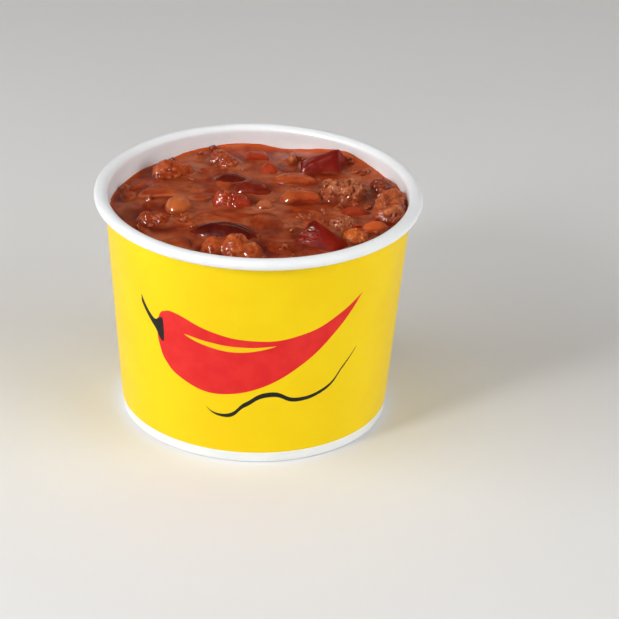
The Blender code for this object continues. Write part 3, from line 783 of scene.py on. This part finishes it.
# Patches of painted sheen on the sauce (amount above 0) and of painted
# shadow (amount below 0): x, y, half widths, amount
PATCHES = (
    (3.0, 21.0, 6.0, 2.6, 0.9), (30.0, 23.0, 5.0, 3.4, 0.8), (32.0, 17.5, 3.6, 3.0, 0.7), (30.5, 1.0, 4.4, 3.0, 0.9),
    (29.0, -5.0, 3.4, 2.4, 0.7), (22.5, -17.0, 2.2, 2.4, 0.8), (-14.0, 1.5, 5.0, 2.6, 0.8), (-22.5, 13.0, 5.0, 2.4, 0.7),
    (-20.0, 32.5, 5.0, 2.0, 0.8), (-10.5, -9.0, 4.4, 2.0, 0.7), (4.0, 32.5, 4.0, 1.6, 0.6), (12.0, 12.6, 5.0, 1.8, 0.8),
    (-27.0, -19.0, 4.6, 2.6, 0.9), (3.0, 8.0, 4.6, 2.2, 0.7), (8.0, -20.0, 5.0, 1.6, 0.6), (8.0, 9.5, 3.6, 1.8, 0.9), (-3.5, 24.5, 4.0, 1.6, 0.5),
    (-33.0, -3.0, 5.6, 4.6, -1.0), (-27.0, -13.0, 5.0, 2.8, -1.0), (4.0, -13.5, 8.0, 4.0, -1.0), (-0.5, -20.5, 3.0, 3.6, -0.9),
    (8.5, -27.5, 6.0, 3.0, -0.8), (9.0, 37.0, 4.0, 1.6, -0.5), (21.0, -6.0, 3.6, 2.2, -0.5), (-16.0, -17.5, 3.4, 2.4, -0.8),
    (-22.0, 18.4, 5.0, 1.8, -0.9), (-18.0, -30.0, 7.0, 2.6, -0.5),
)
CELL = 0.25
HALF = 44.0
AX = np.arange(-HALF, HALF + CELL / 2, CELL)
GX, GY = np.meshgrid(AX, AX, indexing="ij")
GP = np.stack([GX, GY, np.zeros_like(GX)], -1).reshape(-1, 3)


def blur(a, sigma):
    r = max(1, int(round(3 * sigma / CELL)))
    k = np.exp(-0.5 * (np.arange(-r, r + 1) * CELL / sigma) ** 2)
    k /= k.sum()
    out = np.zeros_like(a)
    pad = np.pad(a, ((r, r), (0, 0)), mode="edge")
    for i, w in enumerate(k):
        out += w * pad[i:i + a.shape[0]]
    pad = np.pad(out, ((0, 0), (r, r)), mode="edge")
    out2 = np.zeros_like(a)
    for i, w in enumerate(k):
        out2 += w * pad[:, i:i + a.shape[1]]
    return out2


def g(values):
    return values.reshape(GX.shape)


def base_level():
    r = np.hypot(GX, GY)
    deg = np.degrees(np.arctan2(GY, GX))
    climb = np.zeros_like(r)
    for mid, h, spread in WALL_RISES:
        off = (deg - mid + 180) % 360 - 180
        climb += h * np.exp(-0.5 * (off / spread) ** 2)
    share = np.clip(r / inner_r(LEVEL), 0, 1)
    z = LEVEL + climb * share**4 + 0.25 * (1 - share**2)
    for mx, my, hl, hw, turn, rise in MOUNDS:
        c, s = math.cos(math.radians(turn)), math.sin(math.radians(turn))
        u = (c * (GX - mx) + s * (GY - my)) / hl
        v = (-s * (GX - mx) + c * (GY - my)) / hw
        z += 0.45 * rise * np.exp(-1.1 * (u * u + v * v))
    return z


def top_map(co, f):
    """Height of a piece's upper side over the grid, -inf beside it."""
    tree = BVHTree.FromPolygons([tuple(v) for v in co], [tuple(int(i) for i in t) for t in f])
    out = np.full(GX.shape, -1e9)
    i0, i1 = np.searchsorted(AX, (co[:, 0].min(), co[:, 0].max()))
    j0, j1 = np.searchsorted(AX, (co[:, 1].min(), co[:, 1].max()))
    down = Vector((0, 0, -1))
    for i in range(max(0, i0 - 1), min(len(AX), i1 + 1)):
        for j in range(max(0, j0 - 1), min(len(AX), j1 + 1)):
            hit = tree.ray_cast(Vector((AX[i], AX[j], 80.0)), down)
            if hit[0] is not None:
                out[i, j] = hit[0].z
    return out


def sunken_map():
    """The tops of what the sauce covers, as one field, and how crumbly each place is."""
    z = np.full(GX.shape, -1e9)
    crumb = np.zeros(GX.shape)
    warp_x = GX + 0.9 * g(vnoise(GP / 4.0, 61))
    warp_y = GY + 0.9 * g(vnoise(GP / 4.0, 62))
    f1, f2 = worley(GP / 1.9 + 5, 63)
    h1, h2 = worley(GP / 0.9 + 9, 64)
    grains = g(0.55 * smoothstep(0, 0.4, f2 - f1) + 0.25 * smoothstep(0, 0.4, h2 - h1)) - 0.4
    for x, y, top, L, W, H, turn, kind in SUNKEN:
        c, s = math.cos(math.radians(turn)), math.sin(math.radians(turn))
        u = (c * (warp_x - x) + s * (warp_y - y)) / (L / 2)
        v = (-s * (warp_x - x) + c * (warp_y - y)) / (W / 2)
        if kind == 0:
            v = v + 0.28 * (u * u - 0.35)
        q = (np.abs(u) ** 2.4 + np.abs(v) ** 2.4) if kind == 2 else (u * u + v * v)
        dome = np.sqrt(np.clip(1 - q, 0, 1)) - np.clip(q - 1, 0, None) * 1.5
        h = LEVEL + top - H / 2 * (1 - dome)
        if kind == 1:
            h = h + 0.9 * grains
            crumb = np.maximum(crumb, np.clip(1.25 - q, 0, 1))
        if kind == 2:
            h = h - 0.25 * u - 0.25 * np.abs(g(vnoise(GP / 2.2, 65)))
        z = np.maximum(z, h)
    return z, crumb, grains


def build_sauce(P):
    base = base_level()
    wave = g(0.42 * fbm(GP / 8.0 + 3, 41, 2) + 0.10 * vnoise(GP / 2.8, 42))
    level = base + wave
    sunk, crumb, grains = sunken_map()
    # patches where loose grains of beef lie just under the film
    patch = g(fbm(GP / 9.0 + 11, 43, 2))
    near = np.zeros_like(level)
    for x, y, r in ((23.0, -11.0, 9.0), (31.0, -15.0, 7.0), (34.0, 12.0, 8.0), (-9.0, 27.0, 6.0), (-27.0, -8.0, 6.0), (-18.0, 12.0, 4.0), (26.0, 6.0, 7.0), (-24.0, 19.0, 6.0), (12.0, -9.0, 7.0)):
        near = np.maximum(near, np.exp(-((GX - x) ** 2 + (GY - y) ** 2) / (r * r)))
    meat = np.clip(smoothstep(0.12, 0.5, patch) * 0.55 + smoothstep(0.3, 0.9, near) * 0.9, 0, 1)
    meat = np.maximum(meat, 0.8 * crumb)
    grains = blur(grains, 0.3)
    level = level + meat * 0.60 * (grains + 0.12)
    surface = smax(level, sunk, 1.1)

    tops = np.full(GX.shape, -1e9)
    coated = np.full(GX.shape, -1e9)
    for key, co, f, pit_shade, crest_highlight in P.values():
        top = top_map(co, f)
        tops = np.maximum(tops, top)
        coated = np.maximum(coated, top - {"b": 0.35, "k": 0.40, "p": 0.8, "t": 0.15}.get(key[0], 0.0))
    shows = (tops > surface).astype(float)
    around = blur(shows, 0.75)
    surface = surface + 0.60 * around * (1 - 0.3 * shows)
    ragged = g(fbm(GP / 2.6 + 21, 44, 3))
    skin = coated - (0.16 + 0.55 * np.clip((tops - surface) / 1.4, 0, 1) + 0.34 * ragged)
    surface = smax(surface, skin, 0.7)

    r = np.hypot(GX, GY)
    gap = inner_r(LEVEL) - r
    surface = surface + 0.55 * np.exp(-np.clip(gap, 0, None) / 0.55)
    soft = blur(surface, 1.6)
    # painted shade in the hollows of the surface and in a ring round the pieces, plus darker patches of random tone
    # from noise
    hollow = np.clip((soft - surface) * 2.8, 0, 1)
    shade = blur(shows, 1.3) * (1 - blur(shows, 0.4))
    deep = np.clip(0.65 * hollow + 0.9 * shade + 0.42 * smoothstep(0.0, 0.4, g(fbm(GP / 6.5 + 31, 45, 3))), 0, 1)
    # painted sheen on the flat parts of the sauce and in patches round the pieces
    flat = np.clip(1 - np.abs(surface - soft) * 5, 0, 1)
    pale = flat * smoothstep(-0.05, 0.40, g(fbm(GP / 7.0 + 41, 46, 2)))
    pale = np.maximum(pale, 0.6 * around * smoothstep(0.1, 0.5, g(fbm(GP / 3.0, 47, 2))))
    ragged_x = GX + 1.6 * g(vnoise(GP / 3.4, 66))
    ragged_y = GY + 1.2 * g(vnoise(GP / 3.4, 67))
    # patches with amount above 0 paint sheen, those below 0 paint shadow
    for x, y, rx, ry, amount in PATCHES:
        w = abs(amount) * np.exp(-0.8 * (((ragged_x - x) / rx) ** 2 + ((ragged_y - y) / ry) ** 2))
        if amount > 0:
            pale, deep = np.maximum(pale, w), deep * (1 - 0.8 * w)
        else:
            deep, pale = np.maximum(deep, w), pale * (1 - 0.9 * w)
    wet = np.clip(2.2 * blur(shows, 1.1), 0, 1)
    # how far the sauce stands over the base level; it lightens the sauce, partly as thinner sauce, partly as painted
    # light on the raised tops
    rise = smoothstep(0.3, 1.6, surface - base) * (1 - 0.7 * deep)
    back = smoothstep(-0.2, 0.6, GY / np.maximum(r, 1))
    oil = np.clip(np.exp(-np.clip(gap - 0.2, 0, None) / 1.1) * (0.25 + 0.60 * back) + 0.35 * (1 - deep) * smoothstep(0.35, 0.7, g(fbm(GP / 5.0 + 51, 48, 2))), 0, 1)

    # an even grid of squares mapped onto the disc
    n = 250
    t = np.linspace(-1, 1, n + 1)
    A, B = np.meshgrid(t, t, indexing="ij")
    big = np.maximum(np.abs(A), np.abs(B))
    phi = np.where(np.abs(A) >= np.abs(B), (B / np.where(A == 0, 1, A)) * math.pi / 4, math.pi / 2 - (A / np.where(B == 0, 1, B)) * math.pi / 4)
    sign = np.where(np.abs(A) >= np.abs(B), np.sign(A), np.sign(B))
    rad = big * sign
    reach = inner_r(LEVEL) + 0.12
    X, Y = rad * np.cos(phi) * reach, rad * np.sin(phi) * reach

    def sample(field, x, y):
        fx, fy = (x + HALF) / CELL, (y + HALF) / CELL
        ix, iy = np.clip(fx.astype(int), 0, len(AX) - 2), np.clip(fy.astype(int), 0, len(AX) - 2)
        dx, dy = fx - ix, fy - iy
        return (field[ix, iy] * (1 - dx) * (1 - dy) + field[ix + 1, iy] * dx * (1 - dy) + field[ix, iy + 1] * (1 - dx) * dy + field[ix + 1, iy + 1] * dx * dy)

    Zs = sample(surface, X, Y)
    # the edge follows the leaning wall
    k = 1 + (big**6) * ((inner_r(Zs) + 0.12) / reach - 1)
    X, Y = X * k, Y * k
    co = np.stack([X, Y, Zs], -1).reshape(-1, 3)
    m = n + 1
    idx = np.arange(m * m).reshape(m, m)
    faces = np.stack([idx[:-1, :-1], idx[1:, :-1], idx[1:, 1:], idx[:-1, 1:]], -1).reshape(-1, 4).tolist()
    attrs = {key: sample(field, X, Y).reshape(-1) for key, field in (("oil", oil), ("deep", deep), ("meat", meat), ("pale", pale), ("rise", rise), ("wet", wet))}
    # close the body with its side and underside, out of sight against the wall
    ring = np.concatenate([idx[:-1, 0], idx[-1, :-1], idx[:0:-1, -1], idx[0, :0:-1]])
    extra, rows = [], [ring]
    floor_z = BASE_Z + BASE_T + 0.3
    for z, inset in ((45.0, 0.05), (25.0, 0.05), (floor_z + 1.2, 0.05), (floor_z, 1.3)):
        p = co[ring].copy()
        scale = (inner_r(z) - inset) / np.hypot(p[:, 0], p[:, 1])
        p[:, 0] *= scale
        p[:, 1] *= scale
        p[:, 2] = z
        start = m * m + sum(len(e) for e in extra)
        extra.append(p)
        rows.append(np.arange(start, start + len(ring)))
    for a, b in zip(rows[:-1], rows[1:]):
        for i in range(len(ring)):
            j = (i + 1) % len(ring)
            faces.append([int(a[i]), int(a[j]), int(b[j]), int(b[i])])
    co = np.concatenate([co] + extra)
    co = np.concatenate([co, [[0, 0, floor_z]]])
    last = rows[-1]
    for i in range(len(ring)):
        faces.append([int(last[i]), int(last[(i + 1) % len(ring)]), len(co) - 1])
    for key in attrs:
        attrs[key] = np.concatenate([attrs[key], np.zeros(len(co) - m * m)])
    obj = to_mesh("stew_sauce", co, faces, [MATS["sauce"]], attrs=attrs)
    bm = bmesh.new()
    bm.from_mesh(obj.data)
    bmesh.ops.recalc_face_normals(bm, faces=bm.faces)
    bm.to_mesh(obj.data)
    bm.free()
    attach(obj, "root")
    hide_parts("stew")
    return surface, shows, sample, meat


def build_pieces(P, surface, sample):
    slots = {"kidney": "kidney_bean_skin", "kidney_red": "kidney_bean_skin", "red_bean": "red_bean_skin", "red_bean_2": "red_bean_skin"}
    for node, (key, co, f, pit_shade, crest_highlight) in P.items():
        z0 = sample(surface, co[:, 0], co[:, 1])
        edge = float(np.median(z0))
        sunk = 1 - smoothstep(0.0, 1.6, co[:, 2] - (edge - 0.2))
        obj = to_mesh(node + "_soft", co, f, [MATS[key]], attrs={"sunk": sunk, "pit_shade": pit_shade, "crest_highlight": crest_highlight})
        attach(obj, "root")
        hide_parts(node)
        slot = slots.get(key)
        if slot is None:
            slot = "ground_beef" if key.startswith("beef") else "pinto_bean_skin" if key.startswith("pinto") else "tomato_flesh"


def scatter(name, count, sizes, mat, seed, maker, where, sink=0.3, spots=None):
    """Small bits of one kind as one joined mesh, half sunk in the sauce where the weight field is high."""
    rng = np.random.default_rng(seed)
    cos, fs, pits, sunks, crests, start, made, tries = [], [], [], [], [], 0, 0, 0
    while made < count and tries < count * 60:
        tries += 1
        a, r = rng.uniform(0, 2 * math.pi), 40.5 * math.sqrt(rng.uniform(0, 1))
        x, y = r * math.cos(a), r * math.sin(a)
        if spots:
            x, y = np.array(spots[made % len(spots)]) + rng.normal(0, 0.6, 2)
        elif rng.uniform() > float(sample_field(where, np.array([x]), np.array([y]))[0]):
            continue
        s = sizes[0] + (sizes[1] - sizes[0]) * rng.uniform() ** 1.8
        co, f, pit_shade, crest_highlight = maker(s, rng)
        rot = np.array(Euler((rng.uniform(-0.5, 0.5), rng.uniform(-0.5, 0.5), rng.uniform(0, 6.28))).to_matrix())
        co = co @ rot.T
        z = float(sample_field(SURFACE, np.array([x]), np.array([y]))[0])
        lift = (0.5 - sink) * (co[:, 2].max() - co[:, 2].min())
        co = within_wall(co + np.array([x, y, z + lift]))
        cos.append(co)
        fs.append(f + start)
        pits.append(pit_shade)
        crests.append(crest_highlight)
        sunks.append(np.full(len(co), 0.35))
        start += len(co)
        made += 1
    obj = to_mesh(name, np.concatenate(cos), np.concatenate(fs), [mat], attrs={"sunk": np.concatenate(sunks), "pit_shade": np.concatenate(pits), "crest_highlight": np.concatenate(crests)})
    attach(obj, "root")
    return obj


# ---- make it all ----------------------------------------------------------------------
board = board_material("white_coated_board")
printed = print_material()
cut_edge = edge_material()
# In the piece rows, a closing (colour, weight) pair is the painted highlight laid on the crests
MATS = {
    "sauce": sauce_material(),
    "kidney": piece_material("kidney_bean_dark", [(0.3, srgb(66, 10, 5)), (0.55, srgb(88, 20, 10)), (0.8, srgb(112, 34, 18))], 220, 0.30, (0.22, 0.32), (500, 0.00004), 0.08, 0.5),
    "kidney_red": piece_material("kidney_bean_red", [(0.3, srgb(92, 21, 9)), (0.55, srgb(118, 31, 15)), (0.8, srgb(140, 45, 22))], 220, 0.5, (0.22, 0.34), (500, 0.00005), 0.12, 0.4),
    "red_bean": piece_material("red_bean_orange", [(0.3, srgb(140, 38, 14)), (0.55, srgb(168, 58, 26)), (0.8, srgb(202, 98, 46))], 150, 0.6, (0.24, 0.36), (500, 0.00005), 0.22, 0.35, (srgb(208, 116, 56), 0.55)),
    "red_bean_2": piece_material("red_bean_rust", [(0.3, srgb(133, 39, 18)), (0.55, srgb(153, 52, 26)), (0.8, srgb(166, 68, 35))], 150, 0.6, (0.24, 0.36), (500, 0.00005), 0.2, 0.35),
    "pinto": piece_material("pinto_bean_gold", [(0.3, srgb(166, 72, 30)), (0.55, srgb(188, 97, 46)), (0.8, srgb(204, 120, 64))], 130, 0.45, (0.24, 0.34), (400, 0.00004), 0.3, 0.8),
    "pinto_2": piece_material("pinto_bean_rust", [(0.3, srgb(179, 68, 28)), (0.55, srgb(198, 89, 39)), (0.8, srgb(211, 107, 52))], 130, 0.55, (0.22, 0.34), (400, 0.00005), 0.3, 0.4),
    "pinto_3": piece_material("pinto_bean_tan", [(0.3, srgb(164, 80, 46)), (0.55, srgb(181, 99, 61)), (0.8, srgb(196, 117, 77))], 130, 0.5, (0.26, 0.4), (400, 0.00005), 0.25, 0.3),
    "beef": piece_material("ground_beef_tan", [(0.28, srgb(140, 52, 18)), (0.5, srgb(179, 78, 33)), (0.75, srgb(205, 107, 53))], 300, 0.35, (0.26, 0.42), (1000, 0.00014), 0.15, 0.45, (srgb(225, 136, 77), 0.5)),
    "beef_grey": piece_material("ground_beef_brown", [(0.32, srgb(112, 42, 20)), (0.5, srgb(164, 82, 46)), (0.70, srgb(202, 118, 76))], 520, 0.3, (0.26, 0.42), (1000, 0.00016), 0.12, 0.45, (srgb(230, 158, 114), 0.5)),
    "beef_ridge": piece_material("ground_beef_ridge", [(0.30, srgb(124, 38, 18)), (0.5, srgb(170, 74, 36)), (0.72, srgb(205, 112, 66))], 420, 0.3, (0.26, 0.42), (1000, 0.00016), 0.15, 0.45, (srgb(238, 156, 96), 0.65)),
    "beef_rust": piece_material("ground_beef_red", [(0.30, srgb(118, 38, 15)), (0.5, srgb(160, 64, 28)), (0.72, srgb(196, 98, 50))], 420, 0.45, (0.26, 0.42), (1000, 0.00014), 0.15, 0.45, (srgb(214, 128, 84), 0.5)),
    "beef_warm": piece_material("ground_beef_rust", [(0.28, srgb(132, 40, 14)), (0.5, srgb(168, 70, 30)), (0.75, srgb(200, 102, 52))], 300, 0.3, (0.24, 0.40), (1000, 0.00014), 0.18, 0.45, (srgb(242, 146, 77), 0.55)),
    "beef_dark": piece_material("ground_beef_dark", [(0.28, srgb(83, 25, 11)), (0.5, srgb(131, 47, 22)), (0.75, srgb(172, 78, 42))], 360, 0.4, (0.26, 0.42), (1000, 0.00016), 0.1, 0.5, (srgb(194, 99, 57), 0.5)),
    "beef_gold": piece_material("ground_beef_gold", [(0.28, srgb(172, 64, 18)), (0.5, srgb(203, 97, 37)), (0.75, srgb(225, 130, 61))], 300, 0.3, (0.24, 0.42), (900, 0.00014), 0.2, 0.4, (srgb(242, 161, 88), 0.5)),
    "beef_crumb": piece_material("ground_beef_crumb", [(0.28, srgb(131, 47, 20)), (0.5, srgb(166, 76, 37)), (0.75, srgb(196, 109, 61))], 360, 0.6, (0.26, 0.42), (1000, 0.00012), 0.15, 0.4, (srgb(214, 132, 81), 0.4)),
    "tomato": piece_material("tomato_deep", [(0.3, srgb(100, 12, 5)), (0.55, srgb(124, 22, 10)), (0.8, srgb(148, 36, 18))], 120, 0.25, (0.3, 0.42), (500, 0.00010), 0.25, 0.12, (srgb(222, 132, 90), 0.5)),
    "tomato_bright": piece_material("tomato_bright", [(0.3, srgb(138, 36, 17)), (0.55, srgb(162, 54, 28)), (0.8, srgb(186, 84, 50))], 150, 0.4, (0.24, 0.36), (500, 0.00008), 0.25, 0.3, (srgb(228, 150, 106), 0.7)),
    "tomato_orange": piece_material("tomato_orange", [(0.3, srgb(146, 41, 17)), (0.55, srgb(166, 56, 26)), (0.8, srgb(183, 76, 39))], 150, 0.55, (0.26, 0.38), (500, 0.00008), 0.25, 0.3, (srgb(207, 103, 57), 0.5)),
    "tomato_bit": piece_material("tomato_scrap", [(0.3, srgb(137, 35, 15)), (0.55, srgb(161, 49, 22)), (0.8, srgb(181, 68, 33))], 200, 0.5, (0.26, 0.38), (600, 0.00008), 0.2, 0.3),
}

build_wall()
build_base()
P = pieces_table()
SURFACE, SHOWS, sample_field, MEAT = build_sauce(P)
build_pieces(P, SURFACE, sample_field)

free = np.clip(1 - 1.6 * blur(SHOWS, 0.8), 0, 1)
crumb_field = free * np.clip(MEAT * 1.1 + 0.04, 0, 1)


def crumb_maker(s, rng):
    """A grain of beef: two or three joined granules, softly lumpy."""
    seed = int(rng.integers(1, 9999))
    co, f = blob([(rng.uniform(-0.42, 0.42) * s, rng.uniform(-0.42, 0.42) * s, rng.uniform(-0.1, 0.1) * s, *(s * rng.uniform(0.22, 0.44, 3))) for _ in range(4)], 3, 0.3 * s)
    n = normals_of(co, f)
    g1, g2 = worley(co * 2.6 / s + 7, seed)
    lump = vnoise(co * 2.4 / s + 7, seed) + 0.9 * (0.5 - g1)
    # painted shade in the low spots and painted highlight on the raised ones
    return co + n * (0.20 * s * lump)[:, None], f, np.clip(0.15 - lump, 0, 0.6), np.clip(lump - 0.1, 0, 1)


def shred_maker(s, rng):
    """A scrap of tomato flesh, flat and curled."""
    d, f = ICO[3]
    seed = int(rng.integers(1, 9999))
    co = d * np.array([s * 0.6, s * 0.42, s * 0.24])
    co = co + normals_of(co, f) * (0.12 * s * vnoise(co * 2.2 / s + 5, seed))[:, None]
    co[:, 2] += 0.10 * s * np.sin(co[:, 0] / s * 2.2 + rng.uniform(0, 6))
    return co, f, np.zeros(len(co)), np.zeros(len(co))


scatter("beef_crumbs", 46, (1.0, 2.8), MATS["beef_crumb"], 71, crumb_maker, crumb_field, 0.44)
scatter("tomato_bits", 7, (1.4, 2.6), MATS["tomato_bit"], 72, shred_maker, None, 0.4, ((24.5, -12.6), (29.6, -14.8), (31.5, -5.6), (27.0, -11.0), (33.6, 16.6)))
scatter("edge_crumbs", 8, (0.9, 1.7), MATS["beef_dark"], 75, crumb_maker, None, 0.3, ((-13.0, 37.6), (-24.6, 31.2), (26.4, 28.6), (37.2, 11.8)))

# ---- floor, light and camera --------------------------------------------------------------
floor_mesh = bpy.data.meshes.new("floor")
bm = bmesh.new()
bmesh.ops.create_grid(bm, x_segments=1, y_segments=1, size=4.0)
bm.to_mesh(floor_mesh)
bm.free()
floor = bpy.data.objects.new("floor", floor_mesh)
scene.collection.objects.link(floor)
fl = Nodes("floor_pale")
floor_mesh.materials.append(fl.out(color=fl.ramp(fl.noise(3, 2), [(0.3, srgb(226, 226, 226)), (0.7, srgb(229, 229, 229))]), rough=0.6, spec=0.2))


def area(name, loc, aim, size, energy, color=(1, 1, 1), size_y=None, gloss=True):
    data = bpy.data.lights.new(name, "AREA")
    data.energy, data.color, data.size = energy, color, size
    if size_y:
        data.shape, data.size_y = "RECTANGLE", size_y
    obj = bpy.data.objects.new(name, data)
    scene.collection.objects.link(obj)
    obj.location = loc
    d = Vector(aim) - Vector(loc)
    obj.rotation_euler = d.to_track_quat("-Z", "Y").to_euler()
    obj.visible_glossy = gloss
    return obj


area("key", (-0.500, -0.460, 0.420), (0, 0, 0.058), 0.14, 2.6, (1.0, 0.995, 0.985), 0.26)
gleam = area("gleam", (-0.480, -0.464, 0.498), (0, 0, 0.058), 0.20, 14.0, (1.0, 0.97, 0.93), 0.28)
gleam.visible_diffuse = False
area("top", (0.0, 0.05, 0.98), (0, 0, 0.05), 0.80, 1.75, (1.0, 1.0, 1.0), None, False)
area("front_fill", (0.05, -0.85, 0.46), (0, 0, 0.05), 0.40, 0.50, (1.0, 1.0, 1.0), None, False)
area("right_fill", (0.72, -0.34, 0.40), (0, 0, 0.05), 0.70, 5.2, (1.0, 1.0, 1.0), None, False)
area("left_fill", (-0.74, -0.16, 0.42), (0, 0, 0.05), 0.60, 3.8, (1.0, 1.0, 1.0), None, False)
area("top_back", (0.10, 0.60, 0.50), (0, 0, 0.06), 0.40, 0.20, (1.0, 0.74, 0.52), 0.12)

world = bpy.data.worlds.new("studio")
scene.world = world
world.use_nodes = True
wt = world.node_tree
bg = wt.nodes["Background"]
tc = wt.nodes.new("ShaderNodeTexCoord")
sep = wt.nodes.new("ShaderNodeSeparateXYZ")
wt.links.new(tc.outputs["Generated"], sep.inputs[0])
rampn = wt.nodes.new("ShaderNodeValToRGB")
rampn.color_ramp.elements[0].position = 0.0
rampn.color_ramp.elements[0].color = (0.30, 0.27, 0.24, 1)
rampn.color_ramp.elements[1].position = 0.26
rampn.color_ramp.elements[1].color = (0.050, 0.046, 0.042, 1)
wt.links.new(sep.outputs["Z"], rampn.inputs["Fac"])
wt.links.new(rampn.outputs["Color"], bg.inputs["Color"])
bg.inputs["Strength"].default_value = 1.0

scene.view_settings.view_transform = "Standard"
scene.view_settings.look = "None"

cam = bpy.data.cameras.new("camera")
cam.lens = 201.909
cam.sensor_width = 36.0
cam.clip_start, cam.clip_end = 0.05, 20.0
camera = bpy.data.objects.new("camera", cam)
scene.collection.objects.link(camera)
camera.matrix_world = Matrix((
    (0.99958768, -0.02419843, -0.01545635, 0.0),
    (-0.00264230, 0.45849129, -0.88869497, -0.86786578),
    (0.02859163, 0.88836939, 0.45823830, 0.47617562),
    (0.0, 0.0, 0.0, 1.0),
))
scene.camera = camera

bpy.context.view_layer.update()
